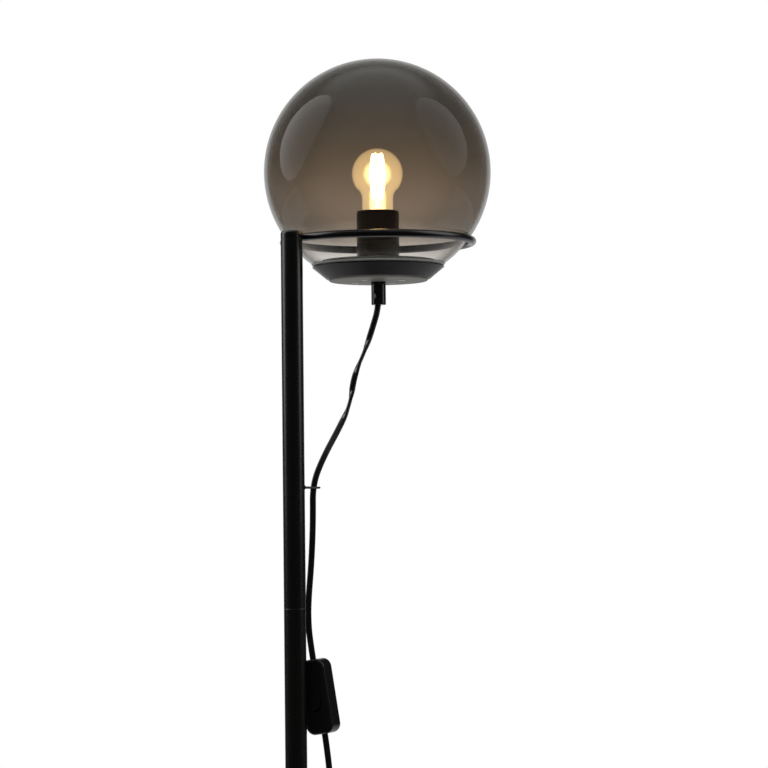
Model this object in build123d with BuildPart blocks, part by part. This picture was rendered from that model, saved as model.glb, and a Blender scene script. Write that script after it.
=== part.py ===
from build123d import *
import os
from math import cos, pi, radians, sin, sqrt, tan

# A globe floor lamp: a smoked glass ball rests in a round wire ring on a slim sectional pole.
# Millimetres, +Z up. The origin is on the floor, on the pole's axis. The ring and the globe
# are on the +X side, and the cord hangs down between the globe and the pole.

# ---- driving dimensions -----------------------------------------------------------------

# Glass globe
globe_radius = 100.0
glass_wall = 2.0
mouth_radius = 53.5  # of the outer surface where the bottom is cut off

# Ring that the globe rests in
rod_radius = 3.5
ring_drop = 62.2  # the ring's plane, below the globe's centre
ring_below_top = 4.8  # the ring's plane, below the pole's top
seat_gap = 0.3  # glass to rod
weld_bead = 2.6

# Pole
pole_radius = 9.5
pole_wall = 1.2
section_length = 326.5  # seam to seam
section_count = 4
head_height = 7.4  # the end piece, above its seam
head_round = 2.5
head_shank = 18.0
insert_length = 16.0
insert_setback = 1.0  # from the end of the tube
seam_chamfer = 0.3
stud_radius = 5.0
stud_short = 2.0  # of its insert's far end
stud_chamfer = 0.6
thread_gap = 0.1
floor_gap = 0.1  # under what lies loose on the floor

# Base
base_radius = 140.0
base_height = 14.0
cover_wall = 1.2
cover_round = 4.0
pad_thickness = 2.5
pad_inset = 3.0
weight_gap = 0.2
bolt_head_radius = 10.0
bolt_head_height = 6.0
washer_radius = 14.0
washer_thickness = 1.6
washer_gap = 1.0
bolt_gap = 0.5

# Gasket on the mouth of the glass
lip_thickness = 0.8
lip_height = 5.4  # up the outside of the glass
inner_lip_height = 4.5
gasket_floor = 1.2

# Cover dish under the globe
dish_radius = 57.5
dish_floor_radius = 44.6
dish_depth = 11.0
dish_above_mouth = 0.8
dish_wall = 1.0
dish_flange = 6.0  # width of the flange that the plate covers
plate_radius = 43.6
plate_thickness = 2.6
plate_crown = 0.7
plate_round = 1.2
screw_circle_radius = 24.0
screw_count = 4
screw_radius = 1.5
screw_head_radius = 2.9
screw_head_height = 1.5
standoff_radius = 3.2
pan_thickness = 1.0
pan_round = 1.5
collar_height = 5.0
slide_gap = 0.15
screw_start_angle = 20.0
screw_grip = 6.0  # what goes into the standoff
screw_slot = 0.7
screw_slot_length = 3.5

# Cord grip
grip_radius = 6.45
grip_length = 20.4
grip_neck_radius = 4.9
grip_neck_length = 6.0
grip_round = 1.0
grip_screw_radius = 2.3
grip_screw_drop = 12.7  # below the plate
grip_screw_angle = 190.0
grip_screw_inset = 0.3
cord_in_grip = 6.0

# Lamp holder
socket_radius = 18.75
socket_height = 50.0
socket_wall = 2.2
skirt_length = 28.0
socket_bottom_round = 13.0
carrier_thickness = 6.0
shell_radius = 13.6
shell_wall = 0.5
shell_rim_drop = 1.2  # its edge, below the holder's rim
terminal_offset = 10.5
nipple_radius = 5.0
nipple_bore = 3.4
nut_thickness = 3.0
nut_flats = 14.0
washer_step = 1.0

# Bulb
bulb_radius = 22.5
bulb_height = 35.7  # its ball's centre, above the cap
bulb_wall = 0.7
shoulder_angle = 130.0  # from the ball's top to where the neck begins
neck_radius = 14.3
cap_radius = 13.1
cap_length = 21.0
cap_top_gap = 2.5  # the cap's top, below the holder's rim
cap_wall = 0.8
thread_pitch = 3.63
thread_depth = 0.8
insulator_length = 2.5
insulator_rim = 1.0  # around the tip
tip_radius = 4.5
tip_length = 1.5
stem_radius = 4.6
stem_rise = 12.0  # above the cap
filament_radius = 0.9
filament_length = 38.0
filament_count = 4
filament_spread = 5.5  # from the axis
filament_drop = 1.5  # their middle, below the ball's
filament_start_angle = 25.0
wire_radius = 0.35
contact_rise = 2.4
contact_width = 6.0
contact_sheet = 0.5
terminal_size = 5.0
terminal_round = 0.8

# Wire loop on the pole
loop_wire_radius = 0.75
loop_height = 1098.0
loop_reach = 28.0  # from the pole's axis
loop_inner_width = 6.4

# Cord, a flat twin lead drawn as a round tube of the same section area
cord_radius = 2.25
lead_radius = 0.9
lead_bend = 1.2
lead_clearance = 1.0  # above the holder's floor
corner_share = 0.45  # of the shorter run, taken by a corner's arc

# Switch on the cord
switch_top = Vector(18.8, -0.6, 950.0)
switch_bottom = Vector(26.3, -6.4, 886.0)
switch_turn = -70.0  # the way that its face looks, from -Y towards +X
switch_width = 27.0
switch_thickness = 16.0
switch_corner = 8.0
switch_round = 2.6
switch_wall = 1.8
switch_cord_in = 4.0  # the cord's end, inside the shells
switch_straight = 12.0  # the cord's straight run outside them
rocker_width = 11.4
rocker_reach = 12.2  # from its pivot to its ends
rocker_gap = 0.35
rocker_throw = 13.0
rocker_proud = 1.3  # of the face, at its ends when level
rocker_dip = 0.7  # of its middle below its ends
rocker_depth = 4.0  # below its pivot
pivot_depth = 3.6  # below the face
pivot_radius = 1.2
pivot_gap = 0.05
ear_thickness = 2.0
boss_radius = 3.0
boss_x = 8.6
boss_y = 20.0
switch_screw_radius = 1.2
switch_screw_head = 2.4
contact_length = 14.0
contact_spacing = 7.0
contact_drop = 4.5  # below the seam

# Coil of the length that is put away
coil_centre_x = 156.0
coil_centre_y = -110.0
coil_outer_radius = 37.0
coil_pitch = 5.6
coil_turns = 5.5
coil_start_angle = 225.0
coil_layer = 5.1
coil_softness = pi / 4  # of a turn in radians, over which the spiral reverses
coil_approach = 7.5  # the straight run into it
tie_thickness = 0.8
tie_width = 5.0
tie_gap = 0.4
tie_angle = 305.0

# Plug
tail_run = 10.8
tail_turn = 22.5
relief_length = 22.0
relief_radius = 4.6
relief_wall = 1.0  # where it starts
plug_width = 35.0
plug_thickness = 14.0
plug_length = 35.0
plug_taper = 10.0
plug_neck_width = 17.5
plug_neck_thickness = 11.2
plug_shoulder_width = 31.5
plug_corner = 4.6
pin_radius = 2.0
pin_length = 19.0
pin_spacing = 18.6

# ---- places that follow from them -------------------------------------------------------

pole_top = base_height + section_count * section_length
ring_z = pole_top - ring_below_top
globe_z = ring_z + ring_drop
ring_radius = sqrt((globe_radius + seat_gap + rod_radius) ** 2 - ring_drop**2)
head_x = ring_radius + rod_radius + pole_radius  # the globe's axis, from the pole's

inner_radius = globe_radius - glass_wall
mouth_z = globe_z - sqrt(globe_radius**2 - mouth_radius**2)
mouth_bore = sqrt(inner_radius**2 - (globe_z - mouth_z) ** 2)
dish_rim_z = mouth_z + dish_above_mouth
dish_floor_z = dish_rim_z - dish_depth
plate_z = dish_floor_z - plate_thickness
pan_z = mouth_z - gasket_floor - pan_thickness
pan_radius = mouth_bore - lip_thickness - slide_gap
pan_top = pan_z + pan_thickness
grip_bottom = plate_z - grip_length

socket_bottom = pan_top + washer_step
socket_top = socket_bottom + socket_height
skirt_bottom = socket_top - skirt_length
cap_top = socket_top - cap_top_gap
cap_bottom = cap_top - cap_length
tip_bottom = cap_bottom - insulator_length - tip_length
carrier_top = tip_bottom - contact_rise
bulb_z = cap_top + bulb_height

pole_bore = pole_radius - pole_wall
seam_heights = [base_height + n * section_length for n in range(section_count)]
section_tops = seam_heights[1:] + [pole_top - head_height]


def on_head(height):
    """The level plane at a height, centred on the globe's axis."""
    return Plane((head_x, 0, height))


def radius_at(height, sphere):
    """The radius of a ball about the globe's centre at a height."""
    return sqrt(sphere**2 - (height - globe_z) ** 2)


def write(piece, label):
    """Names a finished piece and writes its STEP file."""
    piece.part.label = label
    export_step(piece.part, f"parts/{label}.step")


os.makedirs("parts", exist_ok=True)

# ---- base -------------------------------------------------------------------------------

with BuildPart() as base_pad:
    with BuildSketch():
        Circle(base_radius - pad_inset)
    extrude(amount=pad_thickness)
write(base_pad, "base_pad")

weight_radius = base_radius - cover_wall - weight_gap
weight_top = base_height - cover_wall - weight_gap
with BuildPart() as base_weight:
    with BuildSketch(Plane.XY.offset(pad_thickness)):
        Circle(weight_radius)
    extrude(amount=weight_top - pad_thickness)
    chamfer(base_weight.edges().group_by(Axis.Z)[-1], cover_round - cover_wall)
    with Locations((0, 0, pad_thickness)):
        Cylinder(
            washer_radius + washer_gap,
            bolt_head_height + washer_thickness,
            align=(Align.CENTER, Align.CENTER, Align.MIN),
            mode=Mode.SUBTRACT,
        )
    Cylinder(
        stud_radius + bolt_gap,
        base_height,
        align=(Align.CENTER, Align.CENTER, Align.MIN),
        mode=Mode.SUBTRACT,
    )
write(base_weight, "base_weight")

with BuildPart() as base_cover:
    with BuildSketch(Plane.XY.offset(pad_thickness)):
        Circle(base_radius)
    extrude(amount=base_height - pad_thickness)
    fillet(base_cover.edges().group_by(Axis.Z)[-1], cover_round)
    offset(amount=-cover_wall, openings=base_cover.faces().sort_by(Axis.Z)[0])
    with BuildSketch(Plane.XY.offset(base_height)):
        Circle(stud_radius + thread_gap)
    extrude(amount=-2 * cover_wall, mode=Mode.SUBTRACT)
write(base_cover, "base_cover")

washer_z = pad_thickness + bolt_head_height
with BuildPart() as base_washer:
    with BuildSketch(Plane.XY.offset(washer_z)):
        Circle(washer_radius)
        Circle(stud_radius + thread_gap, mode=Mode.SUBTRACT)
    extrude(amount=washer_thickness)
write(base_washer, "base_washer")

with BuildPart() as base_bolt:
    with BuildSketch(Plane.XY.offset(pad_thickness + weight_gap)):
        RegularPolygon(bolt_head_radius, 6)
    extrude(amount=bolt_head_height - weight_gap)
    with BuildSketch(Plane.XY.offset(washer_z)):
        Circle(stud_radius)
    extrude(amount=base_height - washer_z + insert_setback + insert_length - stud_short)
write(base_bolt, "base_bolt")

# ---- pole -------------------------------------------------------------------------------

for number, (bottom, top) in enumerate(zip(seam_heights, section_tops), start=1):
    with BuildPart() as pole_section:
        with BuildSketch(Plane.XY.offset(bottom)):
            Circle(pole_radius)
            Circle(pole_bore, mode=Mode.SUBTRACT)
        extrude(amount=top - bottom)
        chamfer(pole_section.edges().filter_by(GeomType.CIRCLE).sort_by(SortBy.RADIUS)[-2:], seam_chamfer)
    write(pole_section, f"pole_section_{number}")

# Threaded inserts: one in the foot of each section, and one in the top of all but the last
insert_bottoms = [z + insert_setback for z in seam_heights]
insert_bottoms += [z - insert_setback - insert_length for z in seam_heights[1:]]
with BuildPart() as pole_inserts:
    for z in insert_bottoms:
        with BuildSketch(Plane.XY.offset(z)):
            Circle(pole_bore)
            Circle(stud_radius + thread_gap, mode=Mode.SUBTRACT)
        extrude(amount=insert_length)
write(pole_inserts, "pole_inserts")

stud_reach = insert_setback + insert_length - stud_short  # to each side of the seam
with BuildPart() as pole_studs:
    for z in seam_heights[1:]:
        with BuildSketch(Plane.XY.offset(z - stud_reach)):
            Circle(stud_radius)
        extrude(amount=2 * stud_reach)
    chamfer(pole_studs.edges(), stud_chamfer)
write(pole_studs, "pole_studs")

with BuildPart() as pole_head:
    with BuildSketch(Plane.XY.offset(pole_top - head_height)):
        Circle(pole_radius)
    extrude(amount=head_height)
    fillet(pole_head.edges().group_by(Axis.Z)[-1], head_round)
    chamfer(pole_head.edges().group_by(Axis.Z)[0], seam_chamfer)
    with BuildSketch(Plane.XY.offset(pole_top - head_height)):
        Circle(pole_bore)
    extrude(amount=-head_shank)
write(pole_head, "pole_head")

# The ring is welded on at the one place where it touches the pole's end piece
with BuildPart() as support_ring:
    with BuildSketch(Plane.XY.offset(ring_z - weld_bead)):
        with Locations((pole_radius, 0)):
            Circle(weld_bead)
        Circle(pole_radius, mode=Mode.SUBTRACT)
    extrude(amount=2 * weld_bead)
    with Locations((head_x, 0, ring_z)):
        Torus(ring_radius, rod_radius)
write(support_ring, "support_ring")

loop_bend = loop_inner_width / 2 + loop_wire_radius
with BuildPart() as cord_loop:
    with BuildLine(Plane.XY.offset(loop_height)) as loop_path:
        near = (0, -loop_bend)
        turn = (loop_reach - loop_wire_radius - loop_bend, -loop_bend)
        Line(near, turn)
        JernArc(turn, (1, 0), loop_bend, 180)
        Line((turn[0], loop_bend), (0, loop_bend))
    with BuildSketch(Plane((0, -loop_bend, loop_height), x_dir=(0, 1, 0), z_dir=(1, 0, 0))):
        Circle(loop_wire_radius)
    sweep(path=loop_path.wire())
    Cylinder(pole_radius, 3 * loop_height, mode=Mode.SUBTRACT)
write(cord_loop, "cord_loop")

# ---- glass globe and its gasket ---------------------------------------------------------

with BuildPart() as glass_globe:
    with Locations((head_x, 0, globe_z)):
        Sphere(globe_radius)
        Sphere(inner_radius, mode=Mode.SUBTRACT)
    with BuildSketch(on_head(mouth_z)):
        Circle(globe_radius)
    extrude(amount=-globe_radius, mode=Mode.SUBTRACT)
write(glass_globe, "glass_globe")

# A silicone channel: one lip outside the glass, a floor under its edge, one lip inside
lip_radius = globe_radius + lip_thickness
lip_top = mouth_z + lip_height
lip_middle = mouth_z + lip_height / 2
gasket_bottom = mouth_z - gasket_floor
gasket_bore = mouth_bore - lip_thickness
with BuildPart() as seal_ring:
    with BuildSketch(Plane.XZ.shift_origin((head_x, 0, 0))):
        with BuildLine():
            ThreePointArc(
                (mouth_radius, mouth_z),
                (radius_at(lip_middle, globe_radius), lip_middle),
                (radius_at(lip_top, globe_radius), lip_top),
            )
            Line((radius_at(lip_top, globe_radius), lip_top), (radius_at(lip_top, lip_radius), lip_top))
            ThreePointArc(
                (radius_at(lip_top, lip_radius), lip_top),
                (radius_at(lip_middle, lip_radius), lip_middle),
                (radius_at(gasket_bottom, lip_radius), gasket_bottom),
            )
            Polyline(
                (radius_at(gasket_bottom, lip_radius), gasket_bottom),
                (gasket_bore, gasket_bottom),
                (gasket_bore, mouth_z + inner_lip_height),
                (mouth_bore, mouth_z + inner_lip_height),
                (mouth_bore, mouth_z),
                (mouth_radius, mouth_z),
            )
        make_face()
    revolve(axis=Axis((head_x, 0, 0), (0, 0, 1)))
write(seal_ring, "seal_ring")

# ---- cover dish, pan and plate ----------------------------------------------------------

dish_flare = (dish_radius - dish_floor_radius) / dish_depth
dish_side = dish_wall * sqrt(1 + dish_flare**2)  # its slanted wall, measured level
with BuildPart() as cover_dish:
    with BuildSketch(Plane.XZ.shift_origin((head_x, 0, 0))):
        with BuildLine():
            Polyline(
                (dish_radius, dish_rim_z),
                (dish_floor_radius, dish_floor_z),
                (dish_floor_radius - dish_flange, dish_floor_z),
                (dish_floor_radius - dish_flange, dish_floor_z + dish_wall),
                (dish_floor_radius + dish_wall * dish_flare - dish_side, dish_floor_z + dish_wall),
                (dish_radius - dish_side, dish_rim_z),
                close=True,
            )
        make_face()
    revolve(axis=Axis((head_x, 0, 0), (0, 0, 1)))
write(cover_dish, "cover_dish")

# The pan stands in the gasket and carries the lamp holder
with BuildPart() as socket_pan:
    with BuildSketch(on_head(pan_z)):
        Circle(pan_radius)
    extrude(amount=pan_thickness + collar_height)
    fillet(socket_pan.edges().group_by(Axis.Z)[0], pan_round)
    offset(amount=-pan_thickness, openings=socket_pan.faces().sort_by(Axis.Z)[-1])
    with BuildSketch(on_head(pan_z)):
        Circle(nipple_radius + thread_gap)
    extrude(amount=pan_thickness, mode=Mode.SUBTRACT)
write(socket_pan, "socket_pan")

grip_hole = grip_neck_radius + thread_gap
screw_places = PolarLocations(screw_circle_radius, screw_count, start_angle=screw_start_angle)
with BuildPart() as standoffs:
    with BuildSketch(on_head(dish_floor_z)):
        with screw_places:
            RegularPolygon(standoff_radius, 6)
            Circle(screw_radius + thread_gap, mode=Mode.SUBTRACT)
    extrude(amount=pan_z - dish_floor_z)
write(standoffs, "standoffs")

with BuildPart() as underside_plate:
    with BuildSketch(Plane.XZ.shift_origin((head_x, 0, 0))) as plate_section:
        with BuildLine():
            Polyline(
                (grip_hole, plate_z),
                (grip_hole, dish_floor_z),
                (plate_radius, dish_floor_z),
                (plate_radius, plate_z + plate_crown),
            )
            ThreePointArc(
                (plate_radius, plate_z + plate_crown),
                (plate_radius / 2, plate_z + plate_crown / 4),
                (grip_hole, plate_z),
            )
        make_face()
        fillet(plate_section.vertices().group_by(Axis.X)[-1].sort_by(Axis.Y)[0], plate_round)
    revolve(axis=Axis((head_x, 0, 0), (0, 0, 1)))
    with BuildSketch(on_head(dish_floor_z)):
        with screw_places:
            Circle(screw_radius + thread_gap)
    extrude(amount=-2 * plate_thickness, mode=Mode.SUBTRACT)
    with BuildSketch(on_head(plate_z + screw_head_height)):
        with screw_places:
            Circle(screw_head_radius + slide_gap)
    extrude(amount=-2 * plate_thickness, mode=Mode.SUBTRACT)
write(underside_plate, "underside_plate")

with BuildPart() as plate_screws:
    with BuildSketch(on_head(plate_z + screw_head_height)):
        with screw_places:
            Circle(screw_head_radius)
    extrude(amount=-screw_head_height)
    fillet(plate_screws.edges().group_by(Axis.Z)[0], screw_head_height / 2)
    with BuildSketch(on_head(plate_z + screw_head_height)):
        with screw_places:
            Circle(screw_radius)
    extrude(amount=plate_thickness - screw_head_height + screw_grip)
    with BuildSketch(on_head(plate_z)):
        with screw_places:
            Rectangle(screw_slot_length, screw_slot)
            Rectangle(screw_slot, screw_slot_length)
    extrude(amount=screw_head_height / 2, mode=Mode.SUBTRACT)
write(plate_screws, "plate_screws")

# ---- cord grip --------------------------------------------------------------------------

with BuildPart() as cord_grip:
    with BuildSketch(on_head(plate_z)):
        Circle(grip_radius)
    extrude(amount=-grip_length)
    fillet(cord_grip.edges().group_by(Axis.Z)[0], grip_round)
    with BuildSketch(on_head(plate_z)):
        Circle(grip_neck_radius)
    extrude(amount=grip_neck_length)
    with BuildSketch(on_head(grip_bottom)):
        Circle(cord_radius + slide_gap)
    extrude(amount=grip_length + grip_neck_length, mode=Mode.SUBTRACT)
    with BuildSketch(
        Plane((head_x, 0, plate_z - grip_screw_drop), z_dir=Vector(1, 0).rotate(Axis.Z, grip_screw_angle))
    ):
        Circle(grip_screw_radius + slide_gap)
    extrude(amount=2 * grip_radius, mode=Mode.SUBTRACT)
write(cord_grip, "cord_grip")

with BuildPart() as grip_screw:
    with BuildSketch(
        Plane((head_x, 0, plate_z - grip_screw_drop), z_dir=Vector(1, 0).rotate(Axis.Z, grip_screw_angle))
    ):
        Circle(grip_screw_radius)
    extrude(amount=grip_radius - grip_screw_inset)
    with BuildSketch(on_head(grip_bottom)):
        Circle(cord_radius + 2 * slide_gap)
    extrude(amount=grip_length, mode=Mode.SUBTRACT)
write(grip_screw, "grip_screw")

# ---- lamp holder ------------------------------------------------------------------------

with BuildPart() as socket_skirt:
    with BuildSketch(on_head(skirt_bottom)):
        Circle(socket_radius)
        Circle(socket_radius - socket_wall, mode=Mode.SUBTRACT)
    extrude(amount=skirt_length)
    fillet(socket_skirt.edges().group_by(Axis.Z)[-1], socket_wall / 3)
write(socket_skirt, "socket_skirt")

with BuildPart() as socket_base:
    with BuildSketch(on_head(socket_bottom)):
        Circle(socket_radius)
    extrude(amount=skirt_bottom - socket_bottom)
    fillet(socket_base.edges().group_by(Axis.Z)[0], socket_bottom_round)
    offset(amount=-socket_wall, openings=socket_base.faces().sort_by(Axis.Z)[-1])
    with BuildSketch(on_head(socket_bottom)):
        Circle(nipple_radius + thread_gap)
    extrude(amount=2 * socket_wall, mode=Mode.SUBTRACT)
write(socket_base, "socket_base")

carrier_radius = socket_radius - socket_wall - slide_gap
with BuildPart() as contact_carrier:
    with BuildSketch(on_head(carrier_top)):
        Circle(carrier_radius)
    extrude(amount=-carrier_thickness)
write(contact_carrier, "contact_carrier")

with BuildPart() as screw_shell:
    with BuildSketch(on_head(socket_top - shell_rim_drop)):
        Circle(shell_radius + shell_wall)
        Circle(shell_radius, mode=Mode.SUBTRACT)
    extrude(amount=carrier_top - socket_top + shell_rim_drop)
write(screw_shell, "screw_shell")

with BuildPart() as centre_contact:
    with BuildSketch(Plane.XZ.shift_origin((head_x, 0, carrier_top)).offset(-contact_width / 2)):
        with BuildLine() as tongue:
            Polyline(
                (-2 * tip_radius, contact_sheet / 2),
                (-tip_radius, contact_sheet / 2),
                (-tip_radius / 3, contact_rise - contact_sheet),
                (tip_radius / 2, contact_rise - contact_sheet),
                (tip_radius, contact_rise / 2),
            )
        trace(line_width=contact_sheet)
    extrude(amount=contact_width)
write(centre_contact, "centre_contact")

carrier_bottom = carrier_top - carrier_thickness
with BuildPart() as terminals:
    with BuildSketch(on_head(carrier_bottom)):
        with GridLocations(2 * terminal_offset, 0, 2, 1):
            Rectangle(terminal_size, terminal_size)
    extrude(amount=-terminal_size)
    fillet(terminals.edges().filter_by(Axis.Z), terminal_round)
write(terminals, "terminals")

nipple_bottom = pan_z - nut_thickness - thread_gap
with BuildPart() as nipple:
    with BuildSketch(on_head(nipple_bottom)):
        Circle(nipple_radius)
        Circle(nipple_bore, mode=Mode.SUBTRACT)
    extrude(amount=socket_bottom + 2 * socket_wall - nipple_bottom)
write(nipple, "nipple")

with BuildPart() as nipple_nut:
    with BuildSketch(on_head(pan_z)):
        RegularPolygon(nut_flats / 2, 6, major_radius=False)
        Circle(nipple_radius + thread_gap, mode=Mode.SUBTRACT)
    extrude(amount=-nut_thickness)
write(nipple_nut, "nipple_nut")

with BuildPart() as socket_washer:
    with BuildSketch(on_head(pan_top)):
        Circle(nut_flats / 2)
        Circle(nipple_radius + thread_gap, mode=Mode.SUBTRACT)
    extrude(amount=washer_step)
write(socket_washer, "socket_washer")

# Two insulated wires from the cord's end, through the nipple, to the terminals
wire_start = grip_bottom + cord_in_grip
wire_fork = socket_bottom + 2 * socket_wall + lead_clearance
terminal_bottom = carrier_bottom - terminal_size
with BuildPart() as lead_wires:
    for side in (-1, 1):
        start = Vector(head_x + side * (lead_radius + slide_gap / 2), 0, wire_start)
        foot = Vector(head_x + side * terminal_offset, 0, terminal_bottom)
        with BuildLine() as wire_path:
            FilletPolyline(
                start,
                (start.X, 0, wire_fork),
                (foot.X, 0, (wire_fork + terminal_bottom) / 2),
                foot,
                radius=lead_bend,
            )
        with BuildSketch(Plane(start, z_dir=(0, 0, 1))):
            Circle(lead_radius)
        sweep(path=wire_path.wire())
write(lead_wires, "lead_wires")

# ---- bulb -------------------------------------------------------------------------------

shoulder = radians(shoulder_angle)
shoulder_x = bulb_radius * sin(shoulder)
shoulder_z = bulb_z + bulb_radius * cos(shoulder)
neck_z = shoulder_z - (shoulder_x - neck_radius) / sqrt((1 - sin(shoulder)) / (1 + sin(shoulder)))
with BuildPart() as bulb_glass:
    with BuildSketch(Plane.XZ.shift_origin((head_x, 0, 0))):
        with BuildLine():
            ThreePointArc(
                (0, bulb_z + bulb_radius),
                (bulb_radius * sin(shoulder / 2), bulb_z + bulb_radius * cos(shoulder / 2)),
                (shoulder_x, shoulder_z),
            )
            TangentArc(
                (shoulder_x, shoulder_z),
                (neck_radius, neck_z),
                tangent=(cos(shoulder), -sin(shoulder)),
            )
            Polyline(
                (neck_radius, neck_z),
                (neck_radius, cap_top + cap_top_gap),
                (cap_radius - cap_wall, cap_top),
                (0, cap_top),
                (0, bulb_z + bulb_radius),
            )
        make_face()
    revolve(axis=Axis((head_x, 0, 0), (0, 0, 1)))
    offset(amount=-bulb_wall, openings=bulb_glass.faces().filter_by(GeomType.PLANE).sort_by(Axis.Z)[0])
write(bulb_glass, "bulb_glass")

# The cap's thread is drawn as rings, one pitch apart
thread_count = int((cap_length - thread_pitch / 2) // thread_pitch)
valley_radius = cap_radius - thread_depth
cap_line = [(cap_radius, cap_top)]
for n in range(thread_count):
    ring_top = cap_top - thread_pitch / 2 - n * thread_pitch
    cap_line.append((cap_radius, ring_top))
    cap_line.append((valley_radius, ring_top - thread_pitch / 4))
    cap_line.append((valley_radius, ring_top - thread_pitch / 2))
    cap_line.append((cap_radius, ring_top - thread_pitch * 3 / 4))
cap_line.append((valley_radius, cap_bottom))
with BuildPart() as bulb_cap:
    with BuildSketch(Plane.XZ.shift_origin((head_x, 0, 0))):
        with BuildLine():
            Polyline(
                *cap_line,
                (valley_radius - cap_wall, cap_bottom),
                (valley_radius - cap_wall, cap_top - thread_pitch / 2),
                (cap_radius - cap_wall, cap_top),
                close=True,
            )
        make_face()
    revolve(axis=Axis((head_x, 0, 0), (0, 0, 1)))
write(bulb_cap, "bulb_cap")

with BuildPart() as bulb_insulator:
    with BuildSketch(on_head(cap_bottom)):
        Circle(valley_radius - cap_wall)
    with BuildSketch(on_head(cap_bottom - insulator_length)):
        Circle(tip_radius + insulator_rim)
    loft()
write(bulb_insulator, "bulb_insulator")

with BuildPart() as bulb_tip:
    with BuildSketch(on_head(cap_bottom - insulator_length)):
        Circle(tip_radius)
    extrude(amount=-tip_length)
    fillet(bulb_tip.edges().group_by(Axis.Z)[0], tip_length / 2)
write(bulb_tip, "bulb_tip")

stem_top = cap_top + stem_rise
with BuildPart() as bulb_stem:
    with BuildSketch(Plane.XZ.shift_origin((head_x, 0, 0))):
        with BuildLine():
            Polyline(
                (0, stem_top),
                (stem_radius, stem_top),
                (stem_radius, cap_top + stem_radius),
                (cap_radius - cap_wall - 2 * bulb_wall, cap_top),
                (0, cap_top),
                close=True,
            )
        make_face()
    revolve(axis=Axis((head_x, 0, 0), (0, 0, 1)))
write(bulb_stem, "bulb_stem")

filament_places = PolarLocations(filament_spread, filament_count, start_angle=filament_start_angle)
filament_bottom = bulb_z - filament_length / 2 - filament_drop
with BuildPart() as filaments:
    with BuildSketch(on_head(filament_bottom)):
        with filament_places:
            Circle(filament_radius)
    extrude(amount=filament_length)
write(filaments, "filaments")

# A wire spider joins the filaments' tops, and short wires join their feet to the stem
filament_top = filament_bottom + filament_length
with BuildPart() as support_wires:
    with BuildSketch(on_head(filament_top)):
        with PolarLocations(0, filament_count, start_angle=filament_start_angle):
            Rectangle(filament_spread + filament_radius, 2 * wire_radius, align=(Align.MIN, Align.CENTER))
    extrude(amount=2 * wire_radius)
    with BuildSketch(on_head(stem_top)):
        Circle(2 * wire_radius)
    extrude(amount=filament_top - stem_top)
    with BuildSketch(on_head(filament_bottom)):
        with PolarLocations(0, filament_count, start_angle=filament_start_angle):
            Rectangle(filament_spread + filament_radius, 2 * wire_radius, align=(Align.MIN, Align.CENTER))
    extrude(amount=-2 * wire_radius)
write(support_wires, "support_wires")

# ---- cord -------------------------------------------------------------------------------


def corner_radii(points):
    """One radius for each corner: a share of the shorter run over the tangent of half the turn."""
    radii = []
    for before, corner, after in zip(points, points[1:], points[2:]):
        run_in = corner - before
        run_out = after - corner
        half_turn = radians(run_in.get_angle(run_out)) / 2
        radii.append(corner_share * min(run_in.length, run_out.length) / tan(half_turn))
    return radii


def write_cord(points, label):
    """A round tube along straight runs joined by arcs as large as the runs allow."""
    points = [Vector(*point) for point in points]
    radii = corner_radii(points)
    with BuildPart() as cord:
        with BuildLine() as route:
            FilletPolyline(*points, radius=radii)
        with BuildSketch(Plane(points[0], z_dir=points[1] - points[0])):
            Circle(cord_radius)
        sweep(path=route.wire())
    length = route.wire().length
    ratio = cord.part.volume / (pi * cord_radius**2 * length)
    print(f"{label}: {length:.0f} mm, least radius {min(radii):.1f} mm, volume ratio {ratio:.4f}")
    write(cord, label)


switch_up = (switch_top - switch_bottom).normalized()
switch_look = Vector(sin(radians(switch_turn)), -cos(radians(switch_turn)), 0)
switch_across = switch_up.cross(switch_look).normalized()
switch_out = switch_across.cross(switch_up)
switch_centre = (switch_top + switch_bottom) / 2
switch_length = (switch_top - switch_bottom).length

upper_route = [
    (head_x, 0, grip_bottom + cord_in_grip),
    (head_x, 0, 1247),
    (84.5, 0.5, 1222),
    (69.5, 1.0, 1197),
    (64.8, 1.2, 1172),
    (51.5, 0.8, 1151),
    (33.0, 0.2, 1125),
    (20.6, 0, 1101),
    (20.7, 0, 1072),
    (19.0, 0.3, 1036),
    (15.0, 0.7, 998),
    (15.3, 0.8, 977.5),
    switch_top + switch_up * switch_straight,
    switch_top - switch_up * switch_cord_in,
]
write_cord(upper_route, "cord_upper")

# ---- coil -------------------------------------------------------------------------------

coil_angle = 2 * pi * coil_turns
coil_growth = coil_pitch / (2 * pi)
coil_inner_radius = coil_outer_radius - coil_growth * sqrt((coil_angle / 2) ** 2 + coil_softness**2)
coil_floor = floor_gap + tie_thickness + tie_gap + cord_radius


def coil_point(turned):
    """The cord's centre after it has turned an angle: it spirals in, climbs a layer and spirals out."""
    from_middle = turned - coil_angle / 2
    radius = coil_inner_radius + coil_growth * sqrt(from_middle**2 + coil_softness**2)
    climb = min(max(from_middle / pi + 0.5, 0), 1)
    height = coil_floor + coil_layer * climb**2 * (3 - 2 * climb)
    angle = radians(coil_start_angle) + turned
    return Vector(coil_centre_x + radius * cos(angle), coil_centre_y + radius * sin(angle), height)


def coil_tangent(turned):
    """The cord's direction after it has turned an angle."""
    step = 1e-4
    return (coil_point(turned + step) - coil_point(turned - step)).normalized()


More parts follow.
